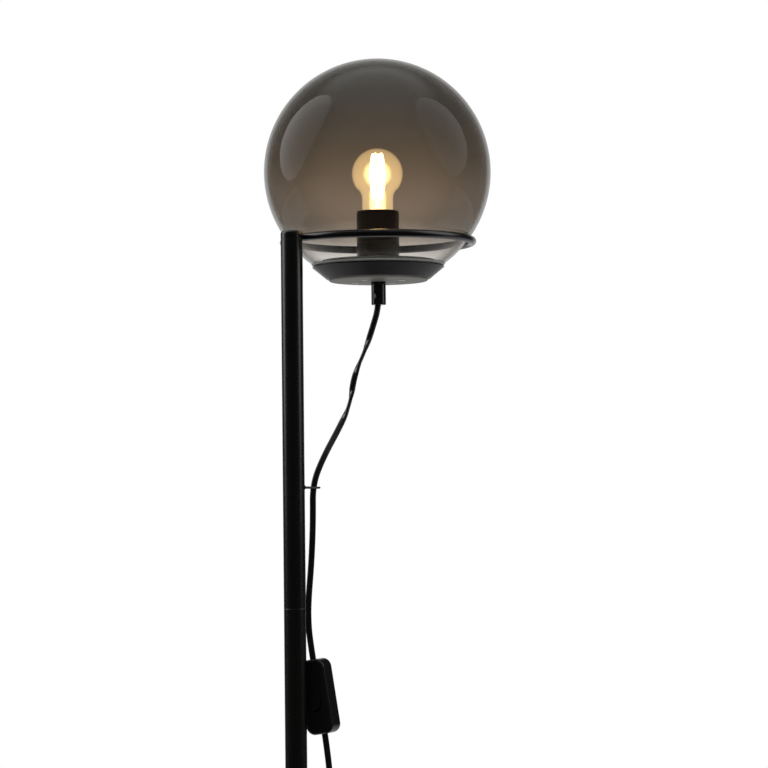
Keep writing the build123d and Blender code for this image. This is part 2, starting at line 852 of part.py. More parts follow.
def biarc(start, start_way, end, end_way):
    """Two arcs that leave the start and reach the end along the given directions."""
    chord = end - start
    spread = 2 * (1 - start_way.dot(end_way))
    along = chord.dot(start_way + end_way)
    reach = (sqrt(along**2 + spread * chord.dot(chord)) - along) / spread
    first = start + start_way * reach
    last = end - end_way * reach
    middle = (first + last) / 2
    TangentArc(start, middle, tangent=start_way)
    TangentArc(middle, end, tangent=(last - first).normalized())


arc_steps = int(coil_turns * 4)
turned_at = [coil_angle * n / arc_steps for n in range(arc_steps + 1)]
with BuildPart() as cord_coil:
    with BuildLine() as coil_path:
        for a, b in zip(turned_at, turned_at[1:]):
            biarc(coil_point(a), coil_tangent(a), coil_point(b), coil_tangent(b))
    with BuildSketch(Plane(coil_point(0), z_dir=coil_tangent(0))):
        Circle(cord_radius)
    sweep(path=coil_path.wire())
coil_length = coil_path.wire().length
coil_ratio = cord_coil.part.volume / (pi * cord_radius**2 * coil_length)
print(f"cord_coil: {coil_length:.0f} mm, volume ratio {coil_ratio:.4f}")
write(cord_coil, "cord_coil")

samples = 40 * arc_steps
on_coil = [coil_point(coil_angle * n / samples) for n in range(samples + 1)]
half_turn_samples = int(samples / coil_turns / 2)
least_gap = min(
    (on_coil[i] - on_coil[j]).length - 2 * cord_radius
    for i in range(0, samples, 5)
    for j in range(i + half_turn_samples, samples)
)
print(f"cord_coil: least gap to itself {least_gap:.2f} mm")

# The tie goes round the bundle at one place
tie_inner = coil_inner_radius + coil_growth * coil_softness - cord_radius - tie_gap
tie_outer = coil_outer_radius + cord_radius + tie_gap
tie_low = coil_floor - cord_radius - tie_gap
tie_high = coil_floor + coil_layer + cord_radius + tie_gap
tie_out = Vector(1, 0).rotate(Axis.Z, tie_angle)
tie_plane = Plane(
    Vector(coil_centre_x, coil_centre_y, 0), x_dir=tie_out, z_dir=tie_out.cross(Vector(0, 0, 1))
)
with BuildPart() as coil_tie:
    with BuildSketch(tie_plane):
        with Locations(((tie_inner + tie_outer) / 2, (tie_low + tie_high) / 2)):
            RectangleRounded(
                tie_outer - tie_inner + 2 * tie_thickness,
                tie_high - tie_low + 2 * tie_thickness,
                cord_radius,
            )
            RectangleRounded(
                tie_outer - tie_inner, tie_high - tie_low, cord_radius - tie_thickness, mode=Mode.SUBTRACT
            )
    extrude(amount=tie_width / 2, both=True)
write(coil_tie, "coil_tie")

# From the switch the cord hangs beside the pole, crosses the base and reaches the coil
coil_entry = coil_point(0)
lower_route = [
    switch_bottom + switch_up * switch_cord_in,
    switch_bottom - switch_up * switch_straight,
    (29.9, -9.2, 846),
    (31.0, -10.6, 806),
    (31.6, -12.0, 752),
    (31.6, -13.2, 694),
    (31.2, -14.3, 634),
    (30.5, -15.2, 573),
    (29.8, -15.9, 512),
    (29.2, -16.4, 451),
    (28.9, -16.8, 390),
    (28.9, -17.2, 329),
    (29.2, -17.7, 268),
    (29.9, -18.4, 208),
    (31.0, -19.4, 152),
    (32.6, -21.2, 104),
    (35.2, -24.6, 68),
    (40.0, -31.0, 40),
    (48.5, -42.0, 23),
    (60.0, -57.0, 16.6),
    (74.0, -76.0, 16.7),
    (88.0, -94.0, 20.3),
    (98.0, -104.4, 19.6),
    (105.8, -112.2, 15.6),
    (112.8, -119.2, 9.6),
    (118.9, -125.3, 5.4),
    coil_entry - coil_tangent(0) * coil_approach,
    coil_entry,
]
write_cord(lower_route, "cord_lower")

# From the coil the cord turns to run along +Y into the plug, which lies on the floor
plug_height = plug_thickness / 2 + floor_gap
coil_exit = coil_point(coil_angle)
tail_way = coil_tangent(coil_angle)
tail_corner = coil_exit + tail_way * tail_run
tail_way = Vector(cos(radians(90 + tail_turn)), sin(radians(90 + tail_turn)), 0)
tail_bend = tail_corner + tail_way * tail_run
tail_bend = Vector(tail_bend.X, tail_bend.Y, plug_height)
plug_start = tail_bend + Vector(0, tail_run, 0)
write_cord([coil_exit, tail_corner, tail_bend, plug_start], "cord_tail")

# ---- switch -----------------------------------------------------------------------------

switch_plane = Plane(switch_centre, x_dir=switch_across, z_dir=switch_out)
half_thickness = switch_thickness / 2
pivot = switch_centre + switch_out * (half_thickness - pivot_depth)
recess_reach = rocker_reach + rocker_gap
recess_width = rocker_width + 2 * rocker_gap
ear_x = recess_width / 2 + ear_thickness / 2

with BuildPart() as switch_front:
    with BuildSketch(switch_plane):
        RectangleRounded(switch_width, switch_length, switch_corner)
    extrude(amount=half_thickness)
    fillet(switch_front.edges().group_by(Axis(switch_centre, switch_out))[-1], switch_round)
    offset(
        amount=-switch_wall,
        openings=switch_front.faces().sort_by(Axis(switch_centre, switch_out))[0],
    )
    with BuildSketch(switch_plane):
        with Locations((boss_x, boss_y), (-boss_x, -boss_y)):
            Circle(boss_radius)
    extrude(amount=half_thickness - switch_wall / 2)
    with BuildSketch(switch_plane.offset(half_thickness - switch_wall / 2)):
        with Locations((ear_x, 0), (-ear_x, 0)):
            Rectangle(ear_thickness, 4 * pivot_radius)
    extrude(amount=switch_wall / 2 - pivot_depth - 2 * pivot_radius)
    with BuildSketch(switch_plane):
        with Locations((boss_x, boss_y), (-boss_x, -boss_y)):
            Circle(switch_screw_radius)
    extrude(amount=half_thickness - 1.5 * switch_wall, mode=Mode.SUBTRACT)
    with BuildSketch(switch_plane):
        SlotOverall(2 * recess_reach, recess_width, rotation=90)
    extrude(amount=switch_thickness, mode=Mode.SUBTRACT)
    with BuildSketch(Plane(pivot, z_dir=switch_across)):
        Circle(pivot_radius + pivot_gap)
    extrude(amount=ear_x + ear_thickness, both=True, mode=Mode.SUBTRACT)
    with BuildSketch(Plane(switch_centre, z_dir=switch_up)):
        Circle(cord_radius + slide_gap)
    extrude(amount=switch_length, both=True, mode=Mode.SUBTRACT)
write(switch_front, "switch_front")

with BuildPart() as switch_back:
    with BuildSketch(switch_plane):
        RectangleRounded(switch_width, switch_length, switch_corner)
    extrude(amount=-half_thickness)
    fillet(switch_back.edges().group_by(Axis(switch_centre, switch_out))[0], switch_round)
    offset(
        amount=-switch_wall,
        openings=switch_back.faces().sort_by(Axis(switch_centre, switch_out))[-1],
    )
    with BuildSketch(switch_plane.offset(-half_thickness)):
        with Locations((boss_x, boss_y), (-boss_x, -boss_y)):
            Circle(boss_radius)
    extrude(amount=half_thickness)
    with BuildSketch(switch_plane):
        with Locations((boss_x, boss_y), (-boss_x, -boss_y)):
            Circle(switch_screw_radius + thread_gap)
    extrude(amount=-switch_thickness, mode=Mode.SUBTRACT)
    with BuildSketch(switch_plane.offset(-switch_wall)):
        with Locations((boss_x, boss_y), (-boss_x, -boss_y)):
            Circle(switch_screw_head + thread_gap)
    extrude(amount=-switch_thickness, mode=Mode.SUBTRACT)
    with BuildSketch(Plane(switch_centre, z_dir=switch_up)):
        Circle(cord_radius + slide_gap)
    extrude(amount=switch_length, both=True, mode=Mode.SUBTRACT)
write(switch_back, "switch_back")

with BuildPart() as switch_screws:
    with BuildSketch(switch_plane.offset(-switch_wall)):
        with Locations((boss_x, boss_y), (-boss_x, -boss_y)):
            Circle(switch_screw_head)
    extrude(amount=-switch_wall)
    with BuildSketch(switch_plane.offset(-switch_wall)):
        with Locations((boss_x, boss_y), (-boss_x, -boss_y)):
            Circle(switch_screw_radius)
    extrude(amount=half_thickness - switch_wall)
write(switch_screws, "switch_screws")

with BuildPart() as switch_contacts:
    with BuildSketch(switch_plane.offset(-contact_drop)):
        with GridLocations(contact_spacing, 0, 2, 1):
            Rectangle(contact_spacing / 2, contact_length)
    extrude(amount=2 * contact_sheet)
write(switch_contacts, "switch_contacts")

# The rocker is drawn level and then turned to the side where its top end is pressed in
rest_turn = radians(rocker_throw / 2)
rocker_up = switch_up * cos(rest_turn) - switch_out * sin(rest_turn)
rocker_side = Plane(pivot, x_dir=rocker_up, z_dir=switch_across)
rocker_face = Plane(pivot, x_dir=switch_across, z_dir=switch_across.cross(rocker_up))
end_height = pivot_depth + rocker_proud
rocker_sway = end_height * sin(rest_turn)
with BuildPart() as switch_rocker:
    with BuildSketch(rocker_side):
        Circle(rocker_reach)
        with BuildLine():
            Polyline(
                (-2 * rocker_reach, -rocker_depth),
                (2 * rocker_reach, -rocker_depth),
                (2 * rocker_reach, end_height + rocker_dip),
                (0, end_height - rocker_dip),
                (-2 * rocker_reach, end_height + rocker_dip),
                close=True,
            )
        make_face(mode=Mode.INTERSECT)
    extrude(amount=rocker_width / 2, both=True)
    with BuildSketch(rocker_face):
        SlotOverall(2 * (rocker_reach - rocker_sway), rocker_width, rotation=90)
    extrude(amount=rocker_reach, both=True, mode=Mode.INTERSECT)
    with BuildSketch(rocker_side):
        Circle(pivot_radius)
    extrude(amount=ear_x + ear_thickness / 2, both=True)
write(switch_rocker, "switch_rocker")
print(f"rocker pivot {pivot}, axis {switch_across}")

# ---- plug -------------------------------------------------------------------------------

plug_plane = Plane(plug_start, x_dir=(-1, 0, 0), z_dir=(0, 1, 0))
with BuildPart() as plug_relief:
    with BuildSketch(plug_plane):
        Circle(cord_radius + relief_wall)
    with BuildSketch(plug_plane.offset(relief_length)):
        Circle(relief_radius)
    loft()
write(plug_relief, "plug_relief")

with BuildPart() as plug_body:
    with BuildSketch(plug_plane.offset(relief_length)):
        RectangleRounded(plug_neck_width, plug_neck_thickness, plug_corner)
    with BuildSketch(plug_plane.offset(relief_length + plug_taper)):
        RectangleRounded(plug_shoulder_width, plug_thickness, plug_corner)
    with BuildSketch(plug_plane.offset(relief_length + plug_length)):
        RectangleRounded(plug_width, plug_thickness, plug_corner)
    loft(ruled=True)
write(plug_body, "plug_body")

with BuildPart() as plug_pins:
    with BuildSketch(plug_plane.offset(relief_length + plug_length)):
        with GridLocations(pin_spacing, 0, 2, 1):
            Circle(pin_radius)
    extrude(amount=pin_length)
    fillet(plug_pins.edges().group_by(Axis.Y)[-1], pin_radius / 2)
write(plug_pins, "plug_pins")
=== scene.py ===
"""The globe floor lamp, dressed for rendering.

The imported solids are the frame. Round pieces are turned again with finer meshes and softened edges,
the flat cord follows its own spline, and every solid gets a finish. Lengths are in metres, except
where a name ends in _mm or a docstring says mm.
"""

from __future__ import annotations

import logging
import math
from dataclasses import dataclass, field
from enum import Enum
from typing import Callable, Iterable, Optional, Sequence, Union

import bmesh
import bpy
from mathutils import Matrix, Vector


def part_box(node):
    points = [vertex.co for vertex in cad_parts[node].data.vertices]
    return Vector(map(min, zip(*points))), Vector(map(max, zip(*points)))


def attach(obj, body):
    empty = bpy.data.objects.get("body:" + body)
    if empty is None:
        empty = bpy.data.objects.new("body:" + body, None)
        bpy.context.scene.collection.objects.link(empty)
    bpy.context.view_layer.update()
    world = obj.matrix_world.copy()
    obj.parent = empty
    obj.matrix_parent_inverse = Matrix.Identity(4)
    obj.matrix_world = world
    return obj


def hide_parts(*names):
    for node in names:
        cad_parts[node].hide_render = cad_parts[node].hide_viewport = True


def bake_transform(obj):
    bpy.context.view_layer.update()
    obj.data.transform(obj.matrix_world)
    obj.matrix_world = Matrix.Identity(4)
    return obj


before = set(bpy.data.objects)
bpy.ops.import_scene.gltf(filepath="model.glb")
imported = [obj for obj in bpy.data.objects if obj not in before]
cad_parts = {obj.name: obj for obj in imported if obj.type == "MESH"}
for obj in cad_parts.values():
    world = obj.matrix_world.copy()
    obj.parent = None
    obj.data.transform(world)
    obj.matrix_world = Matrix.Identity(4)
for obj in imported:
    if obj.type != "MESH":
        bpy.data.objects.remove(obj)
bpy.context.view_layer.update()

log = logging.getLogger("lamp")

MM = 0.001
SAME_PLACE = 1e-7
NO_AREA = 1e-14
Pair = tuple[float, float]
Triple = tuple[float, float, float]
Span = Pair
Colour = Triple
Profile = list[Pair]

# Level ways: to the studio's open side, to the right of the picture, and away from the camera.
OPEN_SIDE: Triple = (-0.628, -0.778, 0.0)
ACROSS: Triple = (0.778, -0.628, 0.0)
AWAY: Triple = (0.627, 0.776, 0.0)

WHITE: Colour = (1.0, 1.0, 1.0)
BLACK: Colour = (0.0, 0.0, 0.0)


def clamped(value: float) -> float:
    """Returns the value, kept between 0 and 1."""
    return min(max(value, 0.0), 1.0)


def eased(share: float) -> float:
    """Returns a share of 0 to 1 with a slow start and a slow end."""
    return share * share * (3 - 2 * share)


def turns(count: int, offset: float = 0.0) -> list[float]:
    """Returns angles evenly round a circle. The first is an offset, in steps, from 0."""
    return [2 * math.pi * (n + offset) / count for n in range(count)]


# ---- shader graphs ---------------------------------------------------------------------------


class Signal:
    """A number that varies over a surface. Operators on it add Math nodes."""

    def __init__(self, graph: "ShaderGraph", socket: bpy.types.NodeSocket) -> None:
        """Wraps an output socket.

        Args:
            graph: The node tree that the socket is in.
            socket: The output that gives the number.
        """
        self.graph = graph
        self.socket = socket

    def _math(self, operation: str, *terms: "Term") -> "Signal":
        """Returns a Math node's result on the terms."""
        return self.graph.number("ShaderNodeMath", {"operation": operation}, dict(enumerate(terms)))

    def __add__(self, other: "Term") -> "Signal":
        """Returns the sum."""
        return self._math("ADD", self, other)

    __radd__ = __add__

    def __sub__(self, other: "Term") -> "Signal":
        """Returns the difference."""
        return self._math("SUBTRACT", self, other)

    def __rsub__(self, other: "Term") -> "Signal":
        """Returns the difference, the other way round."""
        return self._math("SUBTRACT", other, self)

    def __mul__(self, other: "Term") -> "Signal":
        """Returns the product."""
        return self._math("MULTIPLY", self, other)

    __rmul__ = __mul__

    def __truediv__(self, other: "Term") -> "Signal":
        """Returns the quotient."""
        return self._math("DIVIDE", self, other)

    def __rtruediv__(self, other: "Term") -> "Signal":
        """Returns the quotient, the other way round."""
        return self._math("DIVIDE", other, self)

    def __gt__(self, other: "Term") -> "Signal":
        """Returns 1 where this is the greater, and 0 elsewhere."""
        return self._math("GREATER_THAN", self, other)

    def highest(self, other: "Term") -> "Signal":
        """Returns the larger of the two."""
        return self._math("MAXIMUM", self, other)

    def swing(self, size: float) -> "Signal":
        """Turns a number of 0 to 1 into one that goes half the size to each side of 0."""
        return (self - 0.5) * size

    def between(self, low: float, high: float) -> "Signal":
        """Maps a span of this number onto 0 to 1, smoothly and without going past either.

        Args:
            low: What becomes 0.
            high: What becomes 1.

        Returns:
            The mapped number.
        """
        inputs = {"Value": self, "From Min": low, "From Max": high}
        return self.graph.number("ShaderNodeMapRange", {"interpolation_type": "SMOOTHSTEP"}, inputs)


Term = Union[Signal, float]
Feed = Union[Signal, bpy.types.NodeSocket, float, Colour]


class Mixing(Enum):
    """How one colour goes over another."""

    PLAIN = "MIX"
    MULTIPLY = "MULTIPLY"


class Ray(Enum):
    """The kinds of light ray that a shader can tell apart."""

    CAMERA = "Is Camera Ray"
    GLOSSY = "Is Glossy Ray"
    TRANSMISSION = "Is Transmission Ray"


class ShaderGraph:
    """The node tree of a material or of the world."""

    # A Mix node's colour sockets have these places, because other sockets share their names.
    MIX_FIRST, MIX_SECOND, MIX_RESULT = 6, 7, 2

    def __init__(self, tree: bpy.types.NodeTree, output: str) -> None:
        """Clears a node tree and gives it an output.

        Args:
            tree: The node tree.
            output: The type of its output node.
        """
        self.tree = tree
        tree.nodes.clear()
        self.output = tree.nodes.new(output)

    def node(
        self, kind: str, settings: Optional[dict] = None, inputs: Optional[dict] = None
    ) -> bpy.types.Node:
        """Adds a node.

        Args:
            kind: The node's type.
            settings: Its properties, set before its sockets. A ramp's "stops" are (place, colour).
            inputs: A value or link for each socket, by name or number.

        Returns:
            The node.
        """
        made = self.tree.nodes.new(kind)
        for name, value in (settings or {}).items():
            if name == "stops":
                self._set_stops(made.color_ramp, value)
            else:
                setattr(made, name, value)
        for name, value in (inputs or {}).items():
            self.feed(made.inputs[name], value)
        return made

    @staticmethod
    def _set_stops(ramp: bpy.types.ColorRamp, stops: Sequence[tuple[float, Colour]]) -> None:
        """Gives a colour ramp its stops.

        Args:
            ramp: The ramp, which is new.
            stops: Each stop's place and colour.
        """
        while len(ramp.elements) < len(stops):
            ramp.elements.new(1.0)
        for element, (place, colour) in zip(ramp.elements, stops):
            element.position = place
            element.color = (*colour, 1.0)

    def feed(self, socket: bpy.types.NodeSocket, value: Feed) -> None:
        """Sets or links one input.

        Args:
            socket: The input.
            value: A number, a colour, a Signal or an output socket.
        """
        if isinstance(value, Signal):
            self.tree.links.new(value.socket, socket)
        elif isinstance(value, bpy.types.NodeSocket):
            self.tree.links.new(value, socket)
        elif isinstance(value, tuple) and socket.type == "RGBA":
            socket.default_value = (*value, 1.0)
        else:
            socket.default_value = value

    def number(
        self, kind: str, settings: dict, inputs: dict, output: Union[int, str] = 0
    ) -> Signal:
        """Adds a node and returns one of its outputs as a Signal."""
        return Signal(self, self.node(kind, settings, inputs).outputs[output])

    def place(self) -> bpy.types.NodeSocket:
        """Returns the object coordinates, which are metres in the lamp's own frame."""
        return self.node("ShaderNodeTexCoord").outputs["Object"]

    def height(self) -> Signal:
        """Returns the height above the floor."""
        return self.number("ShaderNodeSeparateXYZ", {}, {"Vector": self.place()}, "Z")

    def facing(self) -> Signal:
        """Returns 0 where the surface faces the eye, up to 1 where it is seen on edge."""
        return self.number("ShaderNodeLayerWeight", {}, {"Blend": 0.5}, "Facing")

    def ray(self, kind: Ray) -> Signal:
        """Returns 1 for this kind of ray and 0 for any other."""
        return self.number("ShaderNodeLightPath", {}, {}, kind.value)

    def dot(self, vector: bpy.types.NodeSocket, way: Triple) -> Signal:
        """Returns how far a vector points a way."""
        inputs = {0: vector, 1: way}
        return self.number("ShaderNodeVectorMath", {"operation": "DOT_PRODUCT"}, inputs, "Value")

    def noise(
        self, size_mm: float, detail: float = 3.0, stretch: Triple = (1.0, 1.0, 1.0)
    ) -> Signal:
        """Returns a noise of 0 to 1.

        Args:
            size_mm: How large its features are.
            detail: How many finer layers it has.
            stretch: What each axis is multiplied by, first.

        Returns:
            The noise.
        """
        scaled = self.node("ShaderNodeMapping", inputs={"Vector": self.place(), "Scale": stretch})
        inputs = {"Vector": scaled.outputs[0], "Scale": 1.0 / (size_mm * MM), "Detail": detail}
        return self.number("ShaderNodeTexNoise", {}, inputs, "Fac")

    def blend(
        self, factor: Term, first: Feed, second: Feed, mode: Mixing = Mixing.PLAIN
    ) -> bpy.types.NodeSocket:
        """Mixes two colours.

        Args:
            factor: How much of the second shows.
            first: The colour below.
            second: The colour above.
            mode: How the second goes over the first.

        Returns:
            The mixed colour.
        """
        settings = {"data_type": "RGBA", "blend_type": mode.value}
        mix = self.node("ShaderNodeMix", settings, {"Factor": factor})
        self.feed(mix.inputs[self.MIX_FIRST], first)
        self.feed(mix.inputs[self.MIX_SECOND], second)
        return mix.outputs[self.MIX_RESULT]

    def mixed(
        self, factor: Signal, first: bpy.types.Node, second: bpy.types.Node
    ) -> bpy.types.Node:
        """Mixes two shaders.

        Args:
            factor: How much of the second shows.
            first: The shader below.
            second: The shader above.

        Returns:
            The mixed shader.
        """
        inputs = {0: factor, 1: first.outputs[0], 2: second.outputs[0]}
        return self.node("ShaderNodeMixShader", inputs=inputs)

    def emission(self, colour: Colour, strength: float) -> bpy.types.Node:
        """Adds a shader that gives off light."""
        inputs = {"Color": colour, "Strength": strength}
        return self.node("ShaderNodeEmission", inputs=inputs)

    def bump(self, height: Signal, depth_mm: float, strength: float = 1.0) -> bpy.types.NodeSocket:
        """Returns a normal that follows a height.

        Args:
            height: A number of 0 to 1.
            depth_mm: The depth that 1 stands for.
            strength: How much of it shows.

        Returns:
            The Normal output.
        """
        inputs = {"Height": height, "Distance": depth_mm * MM, "Strength": strength}
        return self.node("ShaderNodeBump", inputs=inputs).outputs["Normal"]

    def principled(self, **inputs: Feed) -> bpy.types.Node:
        """Adds a Principled shader. A socket's name is written with underscores."""
        named = {name.replace("_", " "): value for name, value in inputs.items()}
        return self.node("ShaderNodeBsdfPrincipled", inputs=named)

    def show(self, shader: bpy.types.Node) -> None:
        """Links a shader to the output."""
        self.tree.links.new(shader.outputs[0], self.output.inputs["Surface"])


# ---- finishes --------------------------------------------------------------------------------

MATERIALS: dict[str, bpy.types.Material] = {}


def lightened(colour: Colour, times: float, plus: float = 0.0) -> Colour:
    """Returns a colour with each part multiplied, and a little added."""
    return tuple(part * times + plus for part in colour)


@dataclass(frozen=True)
class Finish:
    """What a surface is made of and how it is treated."""

    name: str

    def paint(self, graph: ShaderGraph) -> bpy.types.Node:
        """Returns the finish's shader."""
        raise NotImplementedError

    def material(self) -> bpy.types.Material:
        """Makes the finish's material, once.

        Returns:
            The material, the same one each time.
        """
        if self.name not in MATERIALS:
            made = bpy.data.materials.new(self.name)
            made.use_nodes = True
            graph = ShaderGraph(made.node_tree, "ShaderNodeOutputMaterial")
            graph.show(self.paint(graph))
            MATERIALS[self.name] = made
        return MATERIALS[self.name]


@dataclass(frozen=True)
class PowderCoat(Finish):
    """Fine-textured satin paint on steel."""

    colour: Colour = (0.0017, 0.0017, 0.0015)
    roughness: float = 0.25
    specular: float = 0.5
    grain_mm: float = 0.9
    drift_mm: float = 60.0
    detail: float = 2.0
    lighter: float = 1.6
    grain_depth_mm: float = 0.03
    grain: float = 0.14

    def paint(self, graph: ShaderGraph) -> bpy.types.Node:
        """Makes the finish's shader.

        Args:
            graph: The material's node tree.

        Returns:
            The shader.
        """
        grain = graph.noise(self.grain_mm, self.detail)
        drift = graph.noise(self.drift_mm, self.detail)
        shade = drift * 0.6 + grain * 0.4
        return graph.principled(
            Base_Color=graph.blend(shade, self.colour, lightened(self.colour, self.lighter)),
            Roughness=self.roughness + drift.swing(0.08) + grain.swing(0.06),
            Specular_IOR_Level=self.specular,
            Normal=graph.bump(grain, self.grain_depth_mm, self.grain),
        )


@dataclass(frozen=True)
class Moulding(Finish):
    """Moulded plastic, from glossy to satin."""

    colour: Colour = (0.01, 0.01, 0.01)
    roughness: float = 0.3
    specular: float = 0.5
    grain_mm: float = 0.35
    grain_depth_mm: float = 0.02
    grain: float = 0.2
    drift_mm: float = 14.0
    lighter: float = 1.35
    coat: float = 0.0

    def paint(self, graph: ShaderGraph) -> bpy.types.Node:
        """Makes the finish's shader.

        Args:
            graph: The material's node tree.

        Returns:
            The shader.
        """
        grain = graph.noise(self.grain_mm)
        drift = graph.noise(self.drift_mm)
        return graph.principled(
            Base_Color=graph.blend(drift, self.colour, lightened(self.colour, self.lighter)),
            Roughness=self.roughness + drift.swing(0.12),
            Specular_IOR_Level=self.specular,
            Coat_Weight=self.coat,
            Normal=graph.bump(grain, self.grain_depth_mm, self.grain),
        )


@dataclass(frozen=True)
class Metal(Finish):
    """Plated, turned or rolled bare metal."""

    colour: Colour = (0.6, 0.6, 0.6)
    roughness: float = 0.3
    stretch: Triple = (1.0, 1.0, 12.0)
    tarnish: Colour = (0.35, 0.33, 0.3)
    line_mm: float = 1.2
    line_depth_mm: float = 0.01
    lines: float = 0.3
    patch_mm: float = 9.0
    detail: float = 4.0

    def paint(self, graph: ShaderGraph) -> bpy.types.Node:
        """Makes the finish's shader.

        Args:
            graph: The material's node tree.

        Returns:
            The shader.
        """
        lines = graph.noise(self.line_mm, self.detail, self.stretch)
        dull = graph.noise(self.patch_mm, self.detail).between(0.5, 0.8)
        return graph.principled(
            Base_Color=graph.blend(dull * 0.5, self.colour, self.tarnish),
            Metallic=1.0,
            Roughness=self.roughness + lines.swing(0.12) + dull * 0.12,
            Normal=graph.bump(lines, self.line_depth_mm, self.lines),
        )


@dataclass(frozen=True)
class CastIron(Finish):
    """Rough cast iron, as poured."""

    colour: Colour = (0.05, 0.05, 0.052)
    rust: Colour = (0.11, 0.06, 0.04)
    roughness: float = 0.62
    pit_mm: float = 2.5
    pit_depth_mm: float = 0.4
    pits: float = 0.7
    rust_mm: float = 18.0

    def paint(self, graph: ShaderGraph) -> bpy.types.Node:
        """Makes the finish's shader.

        Args:
            graph: The material's node tree.

        Returns:
            The shader.
        """
        pits = graph.noise(self.pit_mm, 6.0)
        rust = graph.noise(self.rust_mm, 5.0).between(0.55, 0.8)
        return graph.principled(
            Base_Color=graph.blend(rust * 0.6, self.colour, self.rust),
            Metallic=0.6,
            Roughness=self.roughness + pits.swing(0.25),
            Normal=graph.bump(pits, self.pit_depth_mm, self.pits),
        )


@dataclass(frozen=True)
class SoftRubber(Finish):
    """Silicone, rubber or a cord's jacket."""

    colour: Colour = (0.02, 0.02, 0.02)
    roughness: float = 0.45
    specular: float = 0.4
    grain_mm: float = 0.6
    grain_depth_mm: float = 0.03
    grain: float = 0.4
    dust_mm: float = 7.0
    alpha: float = 1.0

    def paint(self, graph: ShaderGraph) -> bpy.types.Node:
        """Makes the finish's shader.

        Args:
            graph: The material's node tree.

        Returns:
            The shader.
        """
        grain = graph.noise(self.grain_mm)
        dust = graph.noise(self.dust_mm, 5.0).between(0.52, 0.85)
        return graph.principled(
            Base_Color=graph.blend(dust, self.colour, lightened(self.colour, 1.5, 0.004)),
            Roughness=self.roughness + grain.swing(0.1) + dust * 0.1,
            Specular_IOR_Level=self.specular,
            Alpha=self.alpha,
            Normal=graph.bump(grain, self.grain_depth_mm, self.grain),
        )


@dataclass(frozen=True)
class SmokedGlass(Finish):
    """Blown glass with a smoke tint that is strong at the top and fades out at the bottom."""

    low_z: float = 1.30
    high_z: float = 1.477
    edge: Colour = (0.14, 0.138, 0.131)
    aslant: Colour = (0.79, 0.81, 0.84)
    tints: tuple[tuple[float, Colour], ...] = (
        (0.0, (1.0, 0.96, 0.9)),
        (0.06, (0.78, 0.73, 0.67)),
        (0.15, (0.44, 0.385, 0.33)),
        (0.33, (0.437, 0.371, 0.307)),
        (0.48, (0.327, 0.276, 0.223)),
        (0.72, (0.27, 0.243, 0.21)),
        (0.95, (0.285, 0.273, 0.25)),
    )
    aslant_span: Span = (0.04, 0.32)
    edge_span: Span = (0.55, 0.94)
    edge_share: float = 0.92
    drift_mm: float = 70.0
    drift_level: float = 0.08
    bend: float = 1.3
    gloss: Colour = (0.1, 0.1, 0.1)
    ripple_mm: float = 38.0
    ripple_depth_mm: float = 0.5
    ripple: float = 0.1

    def paint(self, graph: ShaderGraph) -> bpy.types.Node:
        """Makes the finish's shader.

        Args:
            graph: The material's node tree.

        Returns:
            The shader.
        """
        span = self.high_z - self.low_z
        drift = graph.noise(self.drift_mm, 2.0)
        level = (graph.height() - self.low_z) / span + drift.swing(self.drift_level)
        tint = graph.node("ShaderNodeValToRGB", {"stops": self.tints}, {"Fac": level})
        facing = graph.facing()
        aslant = facing.between(*self.aslant_span)
        ripple = graph.noise(self.ripple_mm, 1.0)
        wall = graph.principled(
            Base_Color=graph.blend(aslant, tint.outputs["Color"], self.aslant, Mixing.MULTIPLY),
            Roughness=0.0,
            IOR=self.bend,
            Specular_Tint=self.gloss,
            Transmission_Weight=1.0,
            Normal=graph.bump(ripple, self.ripple_depth_mm, self.ripple),
        )
        edge = graph.principled(Base_Color=self.edge, Roughness=0.3, Specular_IOR_Level=0.2)
        return graph.mixed(facing.between(*self.edge_span) * self.edge_share, wall, edge)


@dataclass(frozen=True)
class BulbGlass(Finish):
    """Thin clear glass that glows from the light inside it."""

    haze: Colour = (0.074, 0.062, 0.038)
    core: Colour = (0.6, 0.46, 0.2)
    outline: Colour = (0.044, 0.031, 0.014)
    body: Colour = (0.02, 0.014, 0.008)
    strength: float = 16.0
    streak_mm: float = 5.0
    core_span: Span = (0.0, 0.2)
    outline_span: Span = (0.58, 0.92)
    least_alpha: float = 0.6

    def paint(self, graph: ShaderGraph) -> bpy.types.Node:
        """Makes the finish's shader.

        Args:
            graph: The material's node tree.

        Returns:
            The shader.
        """
        facing = graph.facing()
        streaks = graph.noise(self.streak_mm, 4.0)
        depth = facing + streaks.swing(0.05)
        near = (1.0 - depth.between(*self.core_span)) * 0.8 + (1.0 - facing) * 0.07
        glow = graph.blend(near, self.haze, self.core)
        return graph.principled(
            Base_Color=self.body,
            Roughness=0.03,
            Alpha=self.least_alpha + streaks * 0.1 + facing * 0.3,
            Emission_Color=graph.blend(facing.between(*self.outline_span), glow, self.outline),
            Emission_Strength=self.strength,
            Coat_Weight=1.0,
        )


@dataclass(frozen=True)
class Lit(Finish):
    """A filament that is switched on."""

    colour: Colour = (1.0, 0.82, 0.45)
    dimmer: Colour = (1.0, 0.62, 0.22)
    body: Colour = (0.9, 0.6, 0.2)
    strength: float = 120.0
    bead_mm: float = 2.2
    stretch: Triple = (0.2, 0.2, 1.0)

    def paint(self, graph: ShaderGraph) -> bpy.types.Node:
        """Makes the finish's shader.

        Args:
            graph: The material's node tree.

        Returns:
            The shader.
        """
        beads = graph.noise(self.bead_mm, 1.0, self.stretch).between(0.3, 0.6)
        return graph.principled(
            Base_Color=self.body,
            Roughness=0.4,
            Emission_Color=graph.blend(beads, self.dimmer, self.colour),
            Emission_Strength=self.strength,
        )


